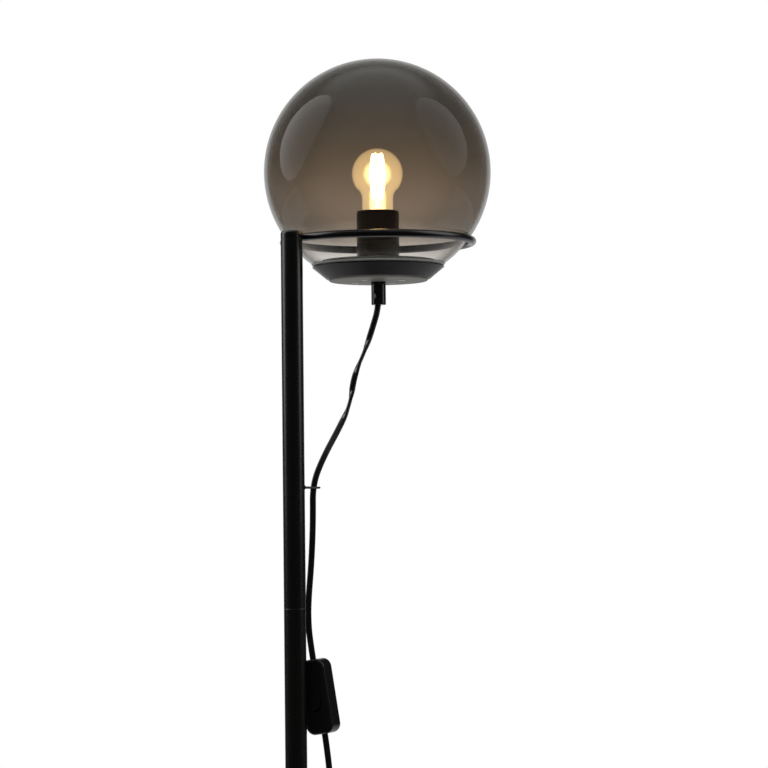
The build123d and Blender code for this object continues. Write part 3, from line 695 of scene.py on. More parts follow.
@dataclass(frozen=True)
class FloorPaint(Finish):
    """The studio's pale floor. It fades into the white, and gloss finds its open side dark."""

    light: Colour = (0.9, 0.9, 0.9)
    dark: Colour = (0.86, 0.86, 0.86)
    drift_mm: float = 400.0
    gloss_span: Span = (-0.4, 0.3)
    fade_span: Span = (0.9, 4.0)

    def paint(self, graph: ShaderGraph) -> bpy.types.Node:
        """Makes the finish's shader.

        Args:
            graph: The material's node tree.

        Returns:
            The shader.
        """
        place = graph.place()
        paint = graph.principled(
            Base_Color=graph.blend(graph.noise(self.drift_mm, 2.0), self.dark, self.light),
            Roughness=0.7,
            Specular_IOR_Level=0.2,
        )
        gloss = graph.ray(Ray.GLOSSY) > graph.ray(Ray.TRANSMISSION)
        unlit = gloss * graph.dot(place, OPEN_SIDE).between(*self.gloss_span)
        near = graph.mixed(unlit, paint, graph.emission(BLACK, 0.0))
        away = graph.number("ShaderNodeVectorMath", {"operation": "LENGTH"}, {0: place}, "Value")
        seen = graph.ray(Ray.CAMERA) * away.between(*self.fade_span)
        return graph.mixed(seen, near, graph.emission(WHITE, 1.0))


COAT = PowderCoat("black_powder_coat")
DISH_COAT = PowderCoat(
    "dish_powder_coat", colour=(0.002, 0.002, 0.0018), roughness=0.3, specular=0.15
)
# The underside plate's grey base colour is painted reflection: it stands in for the pale floor seen
# in the plate, and its specular is kept low.
PLATE_PAINTED_REFLECTION = PowderCoat(
    "plate_coat_painted_reflection", colour=(0.1, 0.095, 0.085), roughness=0.45, specular=0.08
)
IRON = CastIron("cast_iron_raw")
PAD = SoftRubber("base_pad_rubber", colour=(0.03, 0.03, 0.03), roughness=0.8, grain_mm=1.5)
ZINC = Metal("zinc_plate", colour=(0.62, 0.64, 0.66), roughness=0.28)
PAN = Metal("pan_plate", colour=(0.5, 0.52, 0.55), roughness=0.3, stretch=(1.0, 1.0, 1.0))
BRASS = Metal("brass_plain", colour=(0.8, 0.58, 0.25), roughness=0.25, tarnish=(0.35, 0.22, 0.1))
NICKEL = Metal("nickel_plate", colour=(0.66, 0.62, 0.56), roughness=0.22)
SMOKE = SmokedGlass("globe_smoke")
SILICONE = SoftRubber(
    "gasket_silicone", colour=(0.25, 0.254, 0.25), roughness=0.45, grain=0.2, alpha=0.85
)
BAKELITE = Moulding(
    "holder_bakelite", colour=(0.014, 0.009, 0.006), roughness=0.3, specular=0.4
)
GLOSS_BLACK = Moulding(
    "grip_gloss_black", colour=(0.003, 0.003, 0.003), roughness=0.12, specular=0.3
)
SWITCH_BLACK = Moulding(
    "switch_satin_black", colour=(0.004, 0.004, 0.004), roughness=0.2, specular=0.25
)
ROCKER_BLACK = Moulding(
    "rocker_black", colour=(0.004, 0.004, 0.004), roughness=0.12, specular=0.9
)
PLUG_BLACK = Moulding("plug_black", colour=(0.012, 0.012, 0.012), roughness=0.42, grain=0.6)
CERAMIC = Moulding("white_ceramic", colour=(0.7, 0.68, 0.62), roughness=0.25, coat=0.4)
SLEEVE = Moulding("wire_sleeve_blue", colour=(0.02, 0.03, 0.2), roughness=0.35)
JACKET = SoftRubber(
    "cord_jacket", colour=(0.004, 0.004, 0.004), roughness=0.2, specular=0.6, grain=0.1
)
TIE = Moulding("tie_black", colour=(0.01, 0.01, 0.01), roughness=0.5, grain=0.6)
BULB_GLASS = BulbGlass("bulb_glass_lit")
STEM_GLASS = BulbGlass("stem_glass", strength=20.0)
FILAMENT = Lit("filament_lit")

CAD_FINISHES: dict[Finish, tuple[str, ...]] = {
    IRON: ("base_weight",),
    ZINC: (
        "base_washer",
        "base_bolt",
        "pole_inserts",
        "pole_studs",
        "switch_screws",
        "standoffs",
        "socket_washer",
    ),
    SWITCH_BLACK: ("switch_front", "switch_back"),
    BRASS: (
        "switch_contacts",
        "screw_shell",
        "centre_contact",
        "terminals",
        "nipple",
        "nipple_nut",
    ),
    ROCKER_BLACK: ("switch_rocker", "plate_screws"),
    NICKEL: ("plug_pins", "bulb_tip", "support_wires"),
    PLATE_PAINTED_REFLECTION: ("underside_plate",),
    GLOSS_BLACK: ("cord_grip", "grip_screw", "bulb_insulator"),
    CERAMIC: ("contact_carrier",),
    SLEEVE: ("lead_wires",),
    STEM_GLASS: ("bulb_stem",),
}


# ---- mesh tools ------------------------------------------------------------------------------


class Body(Enum):
    """The bodies that pieces ride on."""

    NONE = ""
    STAND = "stand"
    FITTING = "fitting"
    GLOBE = "globe"
    BULB = "bulb"


def placed(name: str, data: bpy.types.ID) -> bpy.types.Object:
    """Adds an object with this mesh, lamp or camera to the scene, and returns it."""
    made = bpy.data.objects.new(name, data)
    bpy.context.scene.collection.objects.link(made)
    return made


def new_piece(
    name: str,
    mesh: bpy.types.Mesh,
    finish: Finish,
    body: Body,
    replaced: Sequence[str] = (),
) -> bpy.types.Object:
    """Adds a finished piece to the scene.

    Args:
        name: The piece's name.
        mesh: Its mesh.
        finish: What it is made of.
        body: The CAD body that it rides on, or NONE if it is placed later.
        replaced: The CAD nodes that it stands for.

    Returns:
        The new object.
    """
    piece = placed(name, mesh)
    mesh.materials.append(finish.material())
    if body is not Body.NONE:
        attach(piece, body.value)
    if replaced:
        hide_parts(*replaced)
    log.info("%s: %d faces", name, len(mesh.polygons))
    return piece


def to_mesh(name: str, solid: bmesh.types.BMesh, sharp_degrees: float = 38.0) -> bpy.types.Mesh:
    """Turns a bmesh into a smooth-shaded mesh with sharp creases.

    Args:
        name: The mesh's name.
        solid: The bmesh, which is freed.
        sharp_degrees: Edges that turn by more than this stay sharp.

    Returns:
        The mesh.
    """
    bmesh.ops.remove_doubles(solid, verts=solid.verts, dist=SAME_PLACE)
    bmesh.ops.recalc_face_normals(solid, faces=solid.faces)
    limit = math.radians(sharp_degrees)
    for face in solid.faces:
        face.smooth = True
    for edge in solid.edges:
        edge.smooth = edge.calc_face_angle(0.0) < limit
    mesh = bpy.data.meshes.new(name)
    solid.to_mesh(mesh)
    solid.free()
    return mesh


def rounded(corners: Sequence[Triple], steps: int = 6) -> Profile:
    """Rounds the corners of a closed profile.

    Args:
        corners: (radius from the axis, height, corner radius), all in mm.
        steps: How many parts each arc has.

    Returns:
        (radius from the axis, height) in mm.
    """
    line: Profile = []
    for i, (x, z, size) in enumerate(corners):
        if size <= 0:
            line.append((x, z))
            continue
        here = Vector((x, z))
        before = (Vector(corners[i - 1][:2]) - here).normalized()
        after = (Vector(corners[(i + 1) % len(corners)][:2]) - here).normalized()
        half = before.angle(after) / 2
        middle = here + (before + after).normalized() * (size / math.sin(half))
        start = here + before * (size / math.tan(half)) - middle
        end = here + after * (size / math.tan(half)) - middle
        turn = start.angle_signed(end)
        for n in range(steps + 1):
            point = middle + Matrix.Rotation(-turn * n / steps, 2) @ start
            line.append((point.x, point.y))
    return line


def guarded(
    profile: Profile, closed: bool, margin: float = 0.25, least: float = 3.0
) -> Profile:
    """Adds points beside the ends of long straight runs, so that they shade as flat as they are.

    Args:
        profile: The points, in mm.
        closed: Whether the last point joins the first.
        margin: How far from an end a point is added.
        least: The length from which a run is long.

    Returns:
        The points with the added ones.
    """
    line: Profile = []
    for i, here in enumerate(profile):
        line.append(here)
        if i == len(profile) - 1 and not closed:
            break
        there = profile[(i + 1) % len(profile)]
        run = math.dist(here, there)
        if run > least:
            for share in (margin / run, 1 - margin / run):
                line.append(tuple(a + (b - a) * share for a, b in zip(here, there)))
    return line


def join_round(
    solid: bmesh.types.BMesh,
    rings: Sequence[Sequence[bmesh.types.BMVert]],
    closed: bool = True,
) -> None:
    """Joins sections that stand round an axis, each to the next and the last to the first.

    Args:
        solid: The bmesh that they are in.
        rings: The sections' points, as many in each.
        closed: Whether a section's last point joins its first.
    """
    for here, there in zip(rings, rings[1:] + rings[:1]):
        for i in range(len(here) if closed else len(here) - 1):
            j = (i + 1) % len(here)
            solid.faces.new((here[i], there[i], there[j], here[j]))


def join_along(
    solid: bmesh.types.BMesh, rings: Sequence[Sequence[bmesh.types.BMVert]]
) -> None:
    """Joins closed sections along a line, each to the next, and closes both ends.

    Args:
        solid: The bmesh that they are in.
        rings: The sections' points, as many in each.
    """
    for here, there in zip(rings, rings[1:]):
        for i in range(len(here)):
            j = (i + 1) % len(here)
            solid.faces.new((here[i], here[j], there[j], there[i]))
    solid.faces.new(rings[0])
    solid.faces.new(rings[-1])


def turned(
    name: str, profile: Profile, axis_x: float, closed: bool = True, segments: int = 96
) -> bpy.types.Mesh:
    """Turns a profile about an upright axis.

    Args:
        name: The mesh's name.
        profile: (radius, height) in mm.
        axis_x: The axis's distance from the pole's, in metres.
        closed: Whether the last point joins the first.
        segments: How many steps go round.

    Returns:
        The mesh.
    """
    solid = bmesh.new()
    profile = guarded(profile, closed)
    rings = []
    for angle in turns(segments):
        x, y = math.cos(angle) * MM, math.sin(angle) * MM
        rings.append([solid.verts.new((axis_x + r * x, r * y, z * MM)) for r, z in profile])
    join_round(solid, rings, closed)
    bmesh.ops.remove_doubles(solid, verts=solid.verts, dist=SAME_PLACE)
    flat = [face for face in solid.faces if face.calc_area() < NO_AREA]
    bmesh.ops.delete(solid, geom=flat, context="FACES")
    return to_mesh(name, solid)


def along(line: Sequence[Vector]) -> list[Vector]:
    """Returns the direction at each point of a line."""
    last = len(line) - 1
    pairs = ((line[max(i - 1, 0)], line[min(i + 1, last)]) for i in range(last + 1))
    return [(after - before).normalized() for before, after in pairs]


def carried(line: Sequence[Vector], first: Vector) -> list[Vector]:
    """Carries a sideways direction along a line without twisting it.

    Args:
        line: The line's points.
        first: The direction at its start.

    Returns:
        The direction at each point.
    """
    ways = along(line)
    side = (first - ways[0] * first.dot(ways[0])).normalized()
    sides = [side]
    for before, after in zip(ways, ways[1:]):
        side = before.rotation_difference(after) @ side
        side = (side - after * side.dot(after)).normalized()
        sides.append(side)
    return sides


def swept(
    name: str,
    line: Sequence[Vector],
    sides: Sequence[Vector],
    section: Callable[[int], Profile],
) -> bpy.types.Mesh:
    """Sweeps a section along a line and closes its ends.

    Args:
        name: The mesh's name.
        line: The line's points, in metres.
        sides: The section's first axis at each point.
        section: Gives the section's points, in metres, at each point of the line.

    Returns:
        The mesh.
    """
    solid = bmesh.new()
    rings = []
    for i, (point, way, side) in enumerate(zip(line, along(line), sides)):
        up = way.cross(side)
        rings.append([solid.verts.new(point + side * a + up * b) for a, b in section(i)])
    join_along(solid, rings)
    return to_mesh(name, solid, 60.0)


def round_section(radius: float, sides: int) -> Profile:
    """Returns a circle's points."""
    return [(radius * math.cos(a), radius * math.sin(a)) for a in turns(sides)]


def box_section(
    half_wide: float, half_high: float, corner: float, count: int
) -> list[tuple[Pair, Pair]]:
    """Goes round a rectangle with round corners.

    Args:
        half_wide: Half its width.
        half_high: Half its height.
        corner: Its corners' radius.
        count: How many points it gets.

    Returns:
        Each point, with the way out of the rectangle there.
    """
    points = []
    for angle in turns(count, 0.5):
        c, s = math.cos(angle), math.sin(angle)
        x = math.copysign(half_wide - corner, c) + corner * c
        y = math.copysign(half_high - corner, s) + corner * s
        points.append(((x, y), (c, s)))
    return points


def spline_points(points: Sequence[Vector], resolution: int) -> list[Vector]:
    """Reads the line of a smooth spline.

    Args:
        points: The spline's control points, in metres.
        resolution: How many steps there are to a control point.

    Returns:
        Points along the spline.
    """
    curve = bpy.data.curves.new("line", "CURVE")
    curve.dimensions = "3D"
    curve.resolution_u = resolution
    spline = curve.splines.new("NURBS")
    spline.points.add(len(points) - 1)
    for control, point in zip(spline.points, points):
        control.co = (*point, 1.0)
    spline.order_u = 3
    spline.use_endpoint_u = True
    holder = bpy.data.objects.new("line", curve)
    mesh = bpy.data.meshes.new_from_object(holder)
    line = [vertex.co.copy() for vertex in mesh.vertices]
    bpy.data.meshes.remove(mesh)
    bpy.data.objects.remove(holder)
    bpy.data.curves.remove(curve)
    return line


# ---- camera, light and floor -----------------------------------------------------------------


@dataclass(frozen=True)
class SoftBox:
    """A lamp of the studio."""

    name: str
    place: Triple
    aim: Triple
    width: float
    height: float
    power: float
    in_gloss: bool = True


@dataclass
class Studio:
    """The camera, the lamps, the floor and the white surroundings."""

    eye: Vector = field(default_factory=lambda: Vector((-1.94929, -2.53777, 0.99799)))
    right: Vector = field(default_factory=lambda: Vector((0.77818125, -0.62795168, -0.01051759)))
    up: Vector = field(default_factory=lambda: Vector((-0.02877095, -0.05237314, 0.99821305)))
    lens_mm: float = 174.0
    sensor_mm: float = 36.0
    reach: float = 100.0
    ambient: float = 0.5
    open_level: float = 0.03
    open_span: Span = (-0.97, -0.8)
    ceiling_span: Span = (0.72, 0.9)
    floor_size: float = 12.0
    boxes: tuple[SoftBox, ...] = (
        SoftBox("left_panel", (-1.36, 1.42, 2.8), (-0.1, 0.15, 2.55), 2.1, 3.2, 42.0),
        SoftBox("right_panel", (1.42, -1.44, 2.8), (0.2, -0.15, 2.55), 2.1, 3.2, 28.0),
        SoftBox("overhead", (0.1, 0.3, 3.4), (0.05, 0.0, 1.2), 2.2, 2.2, 36.0, in_gloss=False),
    )

    def place_camera(self) -> None:
        """Sets the camera where the photograph was taken from."""
        data = bpy.data.cameras.new("camera")
        data.lens = self.lens_mm
        data.sensor_width = self.sensor_mm
        data.clip_end = self.reach
        camera = placed("camera", data)
        back = self.right.cross(self.up)
        turn = Matrix((self.right, self.up, back)).transposed()
        camera.matrix_world = Matrix.Translation(self.eye) @ turn.to_4x4()
        bpy.context.scene.camera = camera

    def light(self) -> None:
        """Adds the lamps."""
        for box in self.boxes:
            data = bpy.data.lights.new(box.name, "AREA")
            data.shape = "ELLIPSE"
            data.size, data.size_y = box.width, box.height
            data.energy = box.power
            lamp = placed(box.name, data)
            lamp.location = box.place
            aim = Vector(box.aim) - Vector(box.place)
            lamp.rotation_euler = aim.to_track_quat("-Z", "Y").to_euler()
            lamp.visible_camera = False
            lamp.visible_transmission = False
            lamp.visible_glossy = box.in_gloss

    def surround(self) -> None:
        """Makes the surroundings white to the eye, in glass and in gloss, and grey as light.

        The studio is open on one side, so gloss finds no white there.
        """
        world = bpy.data.worlds.new("surroundings")
        world.use_nodes = True
        bpy.context.scene.world = world
        graph = ShaderGraph(world.node_tree, "ShaderNodeOutputWorld")
        way = graph.node("ShaderNodeTexCoord").outputs["Generated"]
        height = graph.number("ShaderNodeSeparateXYZ", {}, {"Vector": way}, "Z")
        below = 1.0 - height.between(*self.ceiling_span)
        opening = graph.dot(way, OPEN_SIDE).between(*self.open_span) * below
        gloss = 1.0 - opening * (1.0 - self.open_level)
        level = self.ambient + graph.ray(Ray.GLOSSY) * (gloss - self.ambient)
        level = level.highest(graph.ray(Ray.CAMERA)).highest(graph.ray(Ray.TRANSMISSION))
        inputs = {"Color": WHITE, "Strength": level}
        graph.show(graph.node("ShaderNodeBackground", inputs=inputs))

    def lay_floor(self) -> None:
        """Lays the pale floor."""
        solid = bmesh.new()
        bmesh.ops.create_grid(solid, x_segments=8, y_segments=8, size=self.floor_size / 2)
        mesh = bpy.data.meshes.new("floor")
        solid.to_mesh(mesh)
        solid.free()
        floor = placed("floor", mesh)
        mesh.materials.append(FloorPaint("floor_paint").material())

    def build(self) -> None:
        """Sets up the whole studio."""
        bpy.context.scene.view_settings.view_transform = "Standard"
        self.place_camera()
        self.light()
        self.surround()
        self.lay_floor()
        log.info("studio: %d lamps", len(self.boxes))


# ---- cords -----------------------------------------------------------------------------------


@dataclass
class FlatLead:
    """A flat two-core lead, swept along its spline."""

    width: float = 5.4 * MM
    thickness: float = 3.4 * MM
    groove: float = 0.16
    groove_spread: float = 0.45
    side_fullness: float = 2.5
    sides: int = 28
    resolution: int = 10

    def section(self) -> Profile:
        """Works out the section: two round cores side by side with a shallow groove between them.

        Returns:
            The section's points, in metres.
        """
        points = []
        half, thin = self.width / 2, self.thickness / 2
        flat = half - thin
        for angle in turns(self.sides):
            c, s = math.cos(angle), math.sin(angle)
            x = thin * c + math.copysign(flat, c) * min(1.0, abs(c) * self.side_fullness)
            dip = 1.0 - self.groove * math.exp(-((x / (self.groove_spread * flat)) ** 2))
            points.append((x, thin * s * dip))
        return points

    def turned_sides(self, line: Sequence[Vector], wanted: dict[int, Vector]) -> list[Vector]:
        """Finds the way that the flat lead's width looks at each point.

        Args:
            line: The lead's line.
            wanted: The way that the width should look, at some of the points.

        Returns:
            One direction for each point, turning evenly between the wanted ones.
        """
        ways = along(line)
        sides = carried(line, next(iter(wanted.values())))
        keys, angles = [], []
        for i, way in sorted(wanted.items()):
            flat = (way - ways[i] * way.dot(ways[i])).normalized()
            angle = math.atan2(ways[i].dot(sides[i].cross(flat)), sides[i].dot(flat))
            if angles:
                angle += math.pi * round((angles[-1] - angle) / math.pi)
            keys.append(i)
            angles.append(angle)
        result = []
        k = 0
        for i, side in enumerate(sides):
            while k < len(keys) - 2 and i > keys[k + 1]:
                k += 1
            last = min(k + 1, len(keys) - 1)
            share = eased(clamped((i - keys[k]) / max(keys[last] - keys[k], 1)))
            angle = angles[k] + (angles[last] - angles[k]) * share
            result.append(Matrix.Rotation(angle, 3, ways[i]) @ side)
        return result

    def build(
        self,
        name: str,
        points: Sequence[Vector],
        aims: Callable[[Vector, Vector], Optional[Vector]],
    ) -> tuple[bpy.types.Mesh, list[Vector]]:
        """Builds the lead's mesh.

        Args:
            name: The mesh's name.
            points: The spline's control points, in metres.
            aims: Gives the way that the width looks at a place, where the lead goes some way, or
                None where it is free.

        Returns:
            The mesh and the line that it follows.
        """
        line = spline_points(points, self.resolution)
        found = {i: aims(point, way) for i, (point, way) in enumerate(zip(line, along(line)))}
        wanted = {i: aim for i, aim in found.items() if aim is not None}
        section = self.section()
        mesh = swept(name, line, self.turned_sides(line, wanted), lambda i: section)
        return mesh, line


def metres(points: Iterable[Union[Vector, Triple]]) -> list[Vector]:
    """Turns points in mm into vectors in metres."""
    return [Vector(point) * MM for point in points]


@dataclass
class Cords:
    """The cord from the fitting to the switch, and on to the coil and the plug."""

    grip_bottom: Vector
    lead: FlatLead = field(default_factory=FlatLead)
    switch_top: Vector = field(default_factory=lambda: Vector((18.8, -0.6, 950.0)))
    switch_bottom: Vector = field(default_factory=lambda: Vector((26.3, -6.4, 886.0)))
    straight_mm: float = 12.0
    inside_mm: float = 4.0
    inside_grip_mm: float = 6.0
    upper_route_mm: tuple[Triple, ...] = (
        (94.8, 0.0, 1255),
        (90.4, 0.2, 1243),
        (81.8, 0.6, 1221),
        (68.3, 1.0, 1197),
        (64.2, 1.2, 1172),
        (51.5, 0.8, 1151),
        (33.0, 0.2, 1125),
        (20.6, 0, 1101),
        (20.7, 0, 1072),
        (19.0, 0.3, 1036),
        (15.0, 0.7, 998),
        (15.3, 0.8, 977.5),
    )
    upper_aims: tuple[tuple[float, Triple], ...] = (
        (1.262, ACROSS),
        (1.236, ACROSS),
        (1.213, AWAY),
        (1.19, ACROSS),
        (1.172, AWAY),
        (1.15, ACROSS),
        (0.955, ACROSS),
    )
    aim_reach: float = 0.003
    lower_route_mm: tuple[Triple, ...] = (
        (29.9, -9.2, 846),
        (31.0, -10.6, 806),
        (31.6, -12.0, 752),
        (31.6, -13.2, 694),
        (31.2, -14.3, 634),
        (30.5, -15.2, 573),
        (29.8, -15.9, 512),
        (29.2, -16.4, 451),
        (28.9, -16.8, 390),
        (28.9, -17.2, 329),
        (29.2, -17.7, 268),
        (29.9, -18.4, 208),
        (31.0, -19.4, 152),
        (32.6, -21.2, 104),
        (35.2, -24.6, 68),
        (40.0, -31.0, 40),
        (48.5, -42.0, 23),
        (60.0, -57.0, 16.6),
        (74.0, -76.0, 16.7),
        (88.0, -94.0, 20.3),
        (98.0, -104.4, 19.6),
        (105.8, -112.2, 15.6),
        (112.8, -119.2, 9.6),
        (118.9, -125.3, 5.4),
    )
    held_above: float = 0.88
    coiled_below: float = 0.03
    coil_centre: Vector = field(default_factory=lambda: Vector((156.0, -110.0, 0.0)))
    coil_outer_mm: float = 37.0
    coil_pitch_mm: float = 5.6
    coil_turns: float = 5.5
    coil_start_degrees: float = 225.0
    coil_layer_mm: float = 3.9
    coil_floor_mm: float = 2.8
    coil_softness: float = math.pi / 4
    coil_steps: int = 16
    coil_approach_mm: float = 7.5
    tail_run_mm: float = 10.8
    tail_turn_degrees: float = 22.5
    plug_height_mm: float = 7.1

    def coil_point(self, turned_by: float) -> Vector:
        """Finds a point of the coil's line, which spirals in, climbs a layer and spirals out.

        Args:
            turned_by: The angle that the cord has turned, in radians.

        Returns:
            The point, in mm.
        """
        whole = 2 * math.pi * self.coil_turns
        growth = self.coil_pitch_mm / (2 * math.pi)
        inner = self.coil_outer_mm - growth * math.hypot(whole / 2, self.coil_softness)
        off = turned_by - whole / 2
        radius = inner + growth * math.hypot(off, self.coil_softness)
        climb = eased(clamped(off / math.pi + 0.5))
        height = self.coil_floor_mm + self.coil_layer_mm * climb
        angle = math.radians(self.coil_start_degrees) + turned_by
        off_centre = Vector((radius * math.cos(angle), radius * math.sin(angle), height))
        return self.coil_centre + off_centre

    def coil_way(self, turned_by: float) -> Vector:
        """Returns the coil's direction after it has turned an angle."""
        step = 1e-3
        return (self.coil_point(turned_by + step) - self.coil_point(turned_by - step)).normalized()

    def upper_points(self) -> list[Vector]:
        """Lists the control points from the fitting to the switch.

        Returns:
            The points, in metres.
        """
        x = self.grip_bottom.x / MM
        z = self.grip_bottom.z / MM
        up = (self.switch_top - self.switch_bottom).normalized()
        route = [
            (x, 0, z + self.inside_grip_mm),
            *self.upper_route_mm,
            self.switch_top + up * self.straight_mm,
            self.switch_top - up * self.inside_mm,
        ]
        return metres(route)

    def lower_points(self) -> list[Vector]:
        """Lists the control points from the switch to the plug.

        Returns:
            The points, in metres.
        """
        up = (self.switch_top - self.switch_bottom).normalized()
        entry = self.coil_point(0.0)
        whole = 2 * math.pi * self.coil_turns
        route = [
            self.switch_bottom + up * self.inside_mm,
            self.switch_bottom - up * self.straight_mm,
            *self.lower_route_mm,
            entry - self.coil_way(0.0) * self.coil_approach_mm,
        ]
        count = round(self.coil_turns * self.coil_steps)
        route += [self.coil_point(whole * n / count) for n in range(count + 1)]
        way = self.coil_way(whole)
        corner = self.coil_point(whole) + way * self.tail_run_mm
        turn = math.radians(90 + self.tail_turn_degrees)
        bend = corner + Vector((math.cos(turn), math.sin(turn), 0)) * self.tail_run_mm
        bend.z = self.plug_height_mm
        route += [corner, bend, bend + Vector((0, self.tail_run_mm, 0))]
        return metres(route)

    def upper_aim(self, point: Vector, _way: Vector) -> Optional[Vector]:
        """Finds the way that the upper cord's width looks. The cord twists between these places.

        Args:
            point: A point of the cord.
            _way: The way that the cord goes there, which makes no difference.

        Returns:
            The way, or None where it is free.
        """
        for height, aim in self.upper_aims:
            if abs(point.z - height) < self.aim_reach:
                return Vector(aim)
        return None

    def lower_aim(self, point: Vector, way: Vector) -> Optional[Vector]:
        """Finds the way that the lower cord's width looks: across at the switch, level in the coil.

        Args:
            point: A point of the cord.
            way: The way that the cord goes there.

        Returns:
            The way, or None where it is free.
        """
        if point.z > self.held_above:
            return Vector(ACROSS)
        if point.z < self.coiled_below:
            return way.cross(Vector((0.0, 0.0, 1.0)))
        return None

    def build(self, on_tail: list[bpy.types.Object]) -> None:
        """Args:
            on_tail: The pieces at the lower cord's end.
        """
        self.build_upper()
        self.build_lower(on_tail)

    def build_upper(self) -> None:
        """Builds the cord from the fitting to the switch."""
        mesh, line = self.lead.build("upper_cord", self.upper_points(), self.upper_aim)
        cord = new_piece("upper_cord", mesh, JACKET, Body.NONE, ["cord_upper"])
        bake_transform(cord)

    def build_lower(self, on_tail: list[bpy.types.Object]) -> None:
        """Builds the cord from the switch to the plug.

        Args:
            on_tail: The pieces at its end.
        """
        mesh, line = self.lead.build("lower_cord", self.lower_points(), self.lower_aim)
        replaced = ["cord_lower", "cord_coil", "cord_tail"]
        cord = new_piece("lower_cord", mesh, JACKET, Body.STAND, replaced)
        length = sum((b - a).length for a, b in zip(line, line[1:]))
        log.info("lower cord: %.3f m", length)
        on_tail + [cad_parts["plug_pins"]]


# ---- the stand -------------------------------------------------------------------------------


@dataclass
class Stand:
    """The base, the pole in its sections, the ring and the cord's loop. Sizes are in mm."""

    base_radius: float = 140.0
    base_height: float = 14.0
    cover_wall: float = 1.2
    cover_round: float = 4.0
    pad_radius: float = 137.0
    pad_thickness: float = 2.5
    stud_hole: float = 5.1
    pole_radius: float = 9.5
    pole_bore: float = 8.3
    section: float = 326.5
    section_count: int = 4
    head_height: float = 7.4
    head_shank: float = 18.0
    head_round: float = 2.5
    seam_round: float = 0.45
    ring_radius: float = 83.1
    ring_z: float = 1315.2
    rod_radius: float = 3.5
    weld_radius: float = 3.0
    weld_shape: tuple[Pair, ...] = (
        (-1.2, 0.7),
        (-0.3, 0.98),
        (0.2, 1.06),
        (0.8, 1.06),
        (1.4, 0.95),
        (2.2, 0.6),
    )
    weld_lumps: int = 9
    weld_lump: float = 0.05
    loop_z: float = 1098.0
    loop_reach: float = 28.0
    loop_wire: float = 0.9
    loop_bend: float = 3.95
    loop_bend_steps: int = 24
    loop_root_depth: float = 0.8
    loop_root_step: float = 0.4
    loop_root_steps: int = 9
    loop_weld: float = 1.1
    loop_weld_fade: float = 0.55

    def build(self, axis_x: float) -> None:
        """Builds the stand.

        Args:
            axis_x: The distance from the pole's axis to the ring's, in metres.
        """
        self.build_base()
        self.build_pole()
        self.build_ring(axis_x)
        self.build_loop()

    def build_base(self) -> None:
        """Builds the pressed cover and the pad under it."""
        low, top, wall = self.pad_thickness, self.base_height, self.cover_wall
        pad = rounded([
            (0, 0, 0),
            (self.pad_radius, 0, 0.6),
            (self.pad_radius, low, 0.3),
            (0, low, 0),
        ])
        mesh = turned("foot_pad", pad, 0.0, segments=192)
        new_piece("foot_pad", mesh, PAD, Body.STAND, ["base_pad"])
        inner = self.base_radius - wall
        cover = rounded([
            (self.base_radius, low, 0.4),
            (self.base_radius, top, self.cover_round),
            (self.stud_hole, top, 0.3),
            (self.stud_hole, top - wall, 0),
            (inner, top - wall, self.cover_round - wall),
            (inner, low, 0.4),
        ])
        mesh = turned("foot_cover", cover, 0.0, segments=256)
        new_piece("foot_cover", mesh, COAT, Body.STAND, ["base_cover"])

    def build_pole(self) -> None:
        """Builds the tubes and the end piece."""
        outer, bore, edge = self.pole_radius, self.pole_bore, self.seam_round
        top = self.base_height + self.section * self.section_count
        foot = top - self.head_height
        for n in range(self.section_count):
            low = self.base_height + n * self.section
            high = min(low + self.section, foot)
            tube = rounded([
                (outer, low, edge),
                (outer, high, edge),
                (bore, high, 0.2),
                (bore, low, 0.2),
            ])
            name = f"tube_{n + 1}"
            new_piece(name, turned(name, tube, 0.0), COAT, Body.STAND, [f"pole_section_{n + 1}"])
        end = rounded([
            (0, foot - self.head_shank, 0),
            (bore, foot - self.head_shank, 0.5),
            (bore, foot, 0),
            (outer, foot, edge),
            (outer, top, self.head_round),
            (0, top, 0),
        ], steps=10)
        new_piece("pole_end", turned("pole_end", end, 0.0), COAT, Body.STAND, ["pole_head"])

    def build_ring(self, axis_x: float) -> None:
        """Builds the round wire ring and the weld that holds it.

        Args:
            axis_x: The distance from the pole's axis to the ring's, in metres.
        """
        wire = round_section(self.rod_radius, 32)
        rod = [(self.ring_radius + x, self.ring_z + z) for x, z in wire]
        mesh = turned("globe_ring", rod, axis_x, segments=288)
        ring = new_piece("globe_ring", mesh, COAT, Body.STAND, ["support_ring"])
        solid = bmesh.new()
        rings = []
        for reach, share in self.weld_shape:
            around = []
            for angle in turns(48):
                lump = 1 + self.weld_lump * math.sin(self.weld_lumps * angle)
                size = self.weld_radius * share * lump
                y, z = size * math.cos(angle), self.ring_z + size * math.sin(angle)
                around.append(solid.verts.new(Vector((self.pole_radius + reach, y, z)) * MM))
            rings.append(around)
        join_along(solid, rings)
        weld = new_piece("ring_weld", to_mesh("ring_weld", solid, 70.0), COAT, Body.STAND)
        weld.parent = ring

    def build_loop(self) -> None:
        """Builds the wire loop, which widens into its welds at the pole."""
        straight = self.loop_reach - self.loop_wire - self.loop_bend
        root = math.sqrt(self.pole_radius**2 - self.loop_bend**2)
        first = root - self.loop_root_depth
        near = [first + self.loop_root_step * n for n in range(self.loop_root_steps)]
        line = [(x, -self.loop_bend) for x in near + [straight]]
        for n in range(1, self.loop_bend_steps):
            angle = math.pi * n / self.loop_bend_steps - math.pi / 2
            x, y = self.loop_bend * math.cos(angle), self.loop_bend * math.sin(angle)
            line.append((straight + x, y))
        line += [(x, self.loop_bend) for x in [straight] + near[::-1]]
        points = [Vector((x, y, self.loop_z)) * MM for x, y in line]
        sides = carried(points, Vector((0, 0, 1)))

        def section(i: int) -> Profile:
            """Works out the wire's section, which is wider in its weld.

            Args:
                i: The place along the line.

            Returns:
                The section's points, in metres.
            """
            off = max(line[i][0] - root, 0.0)
            wider = self.loop_weld * math.exp(-off / self.loop_weld_fade)
            return round_section((self.loop_wire + wider) * MM, 20)

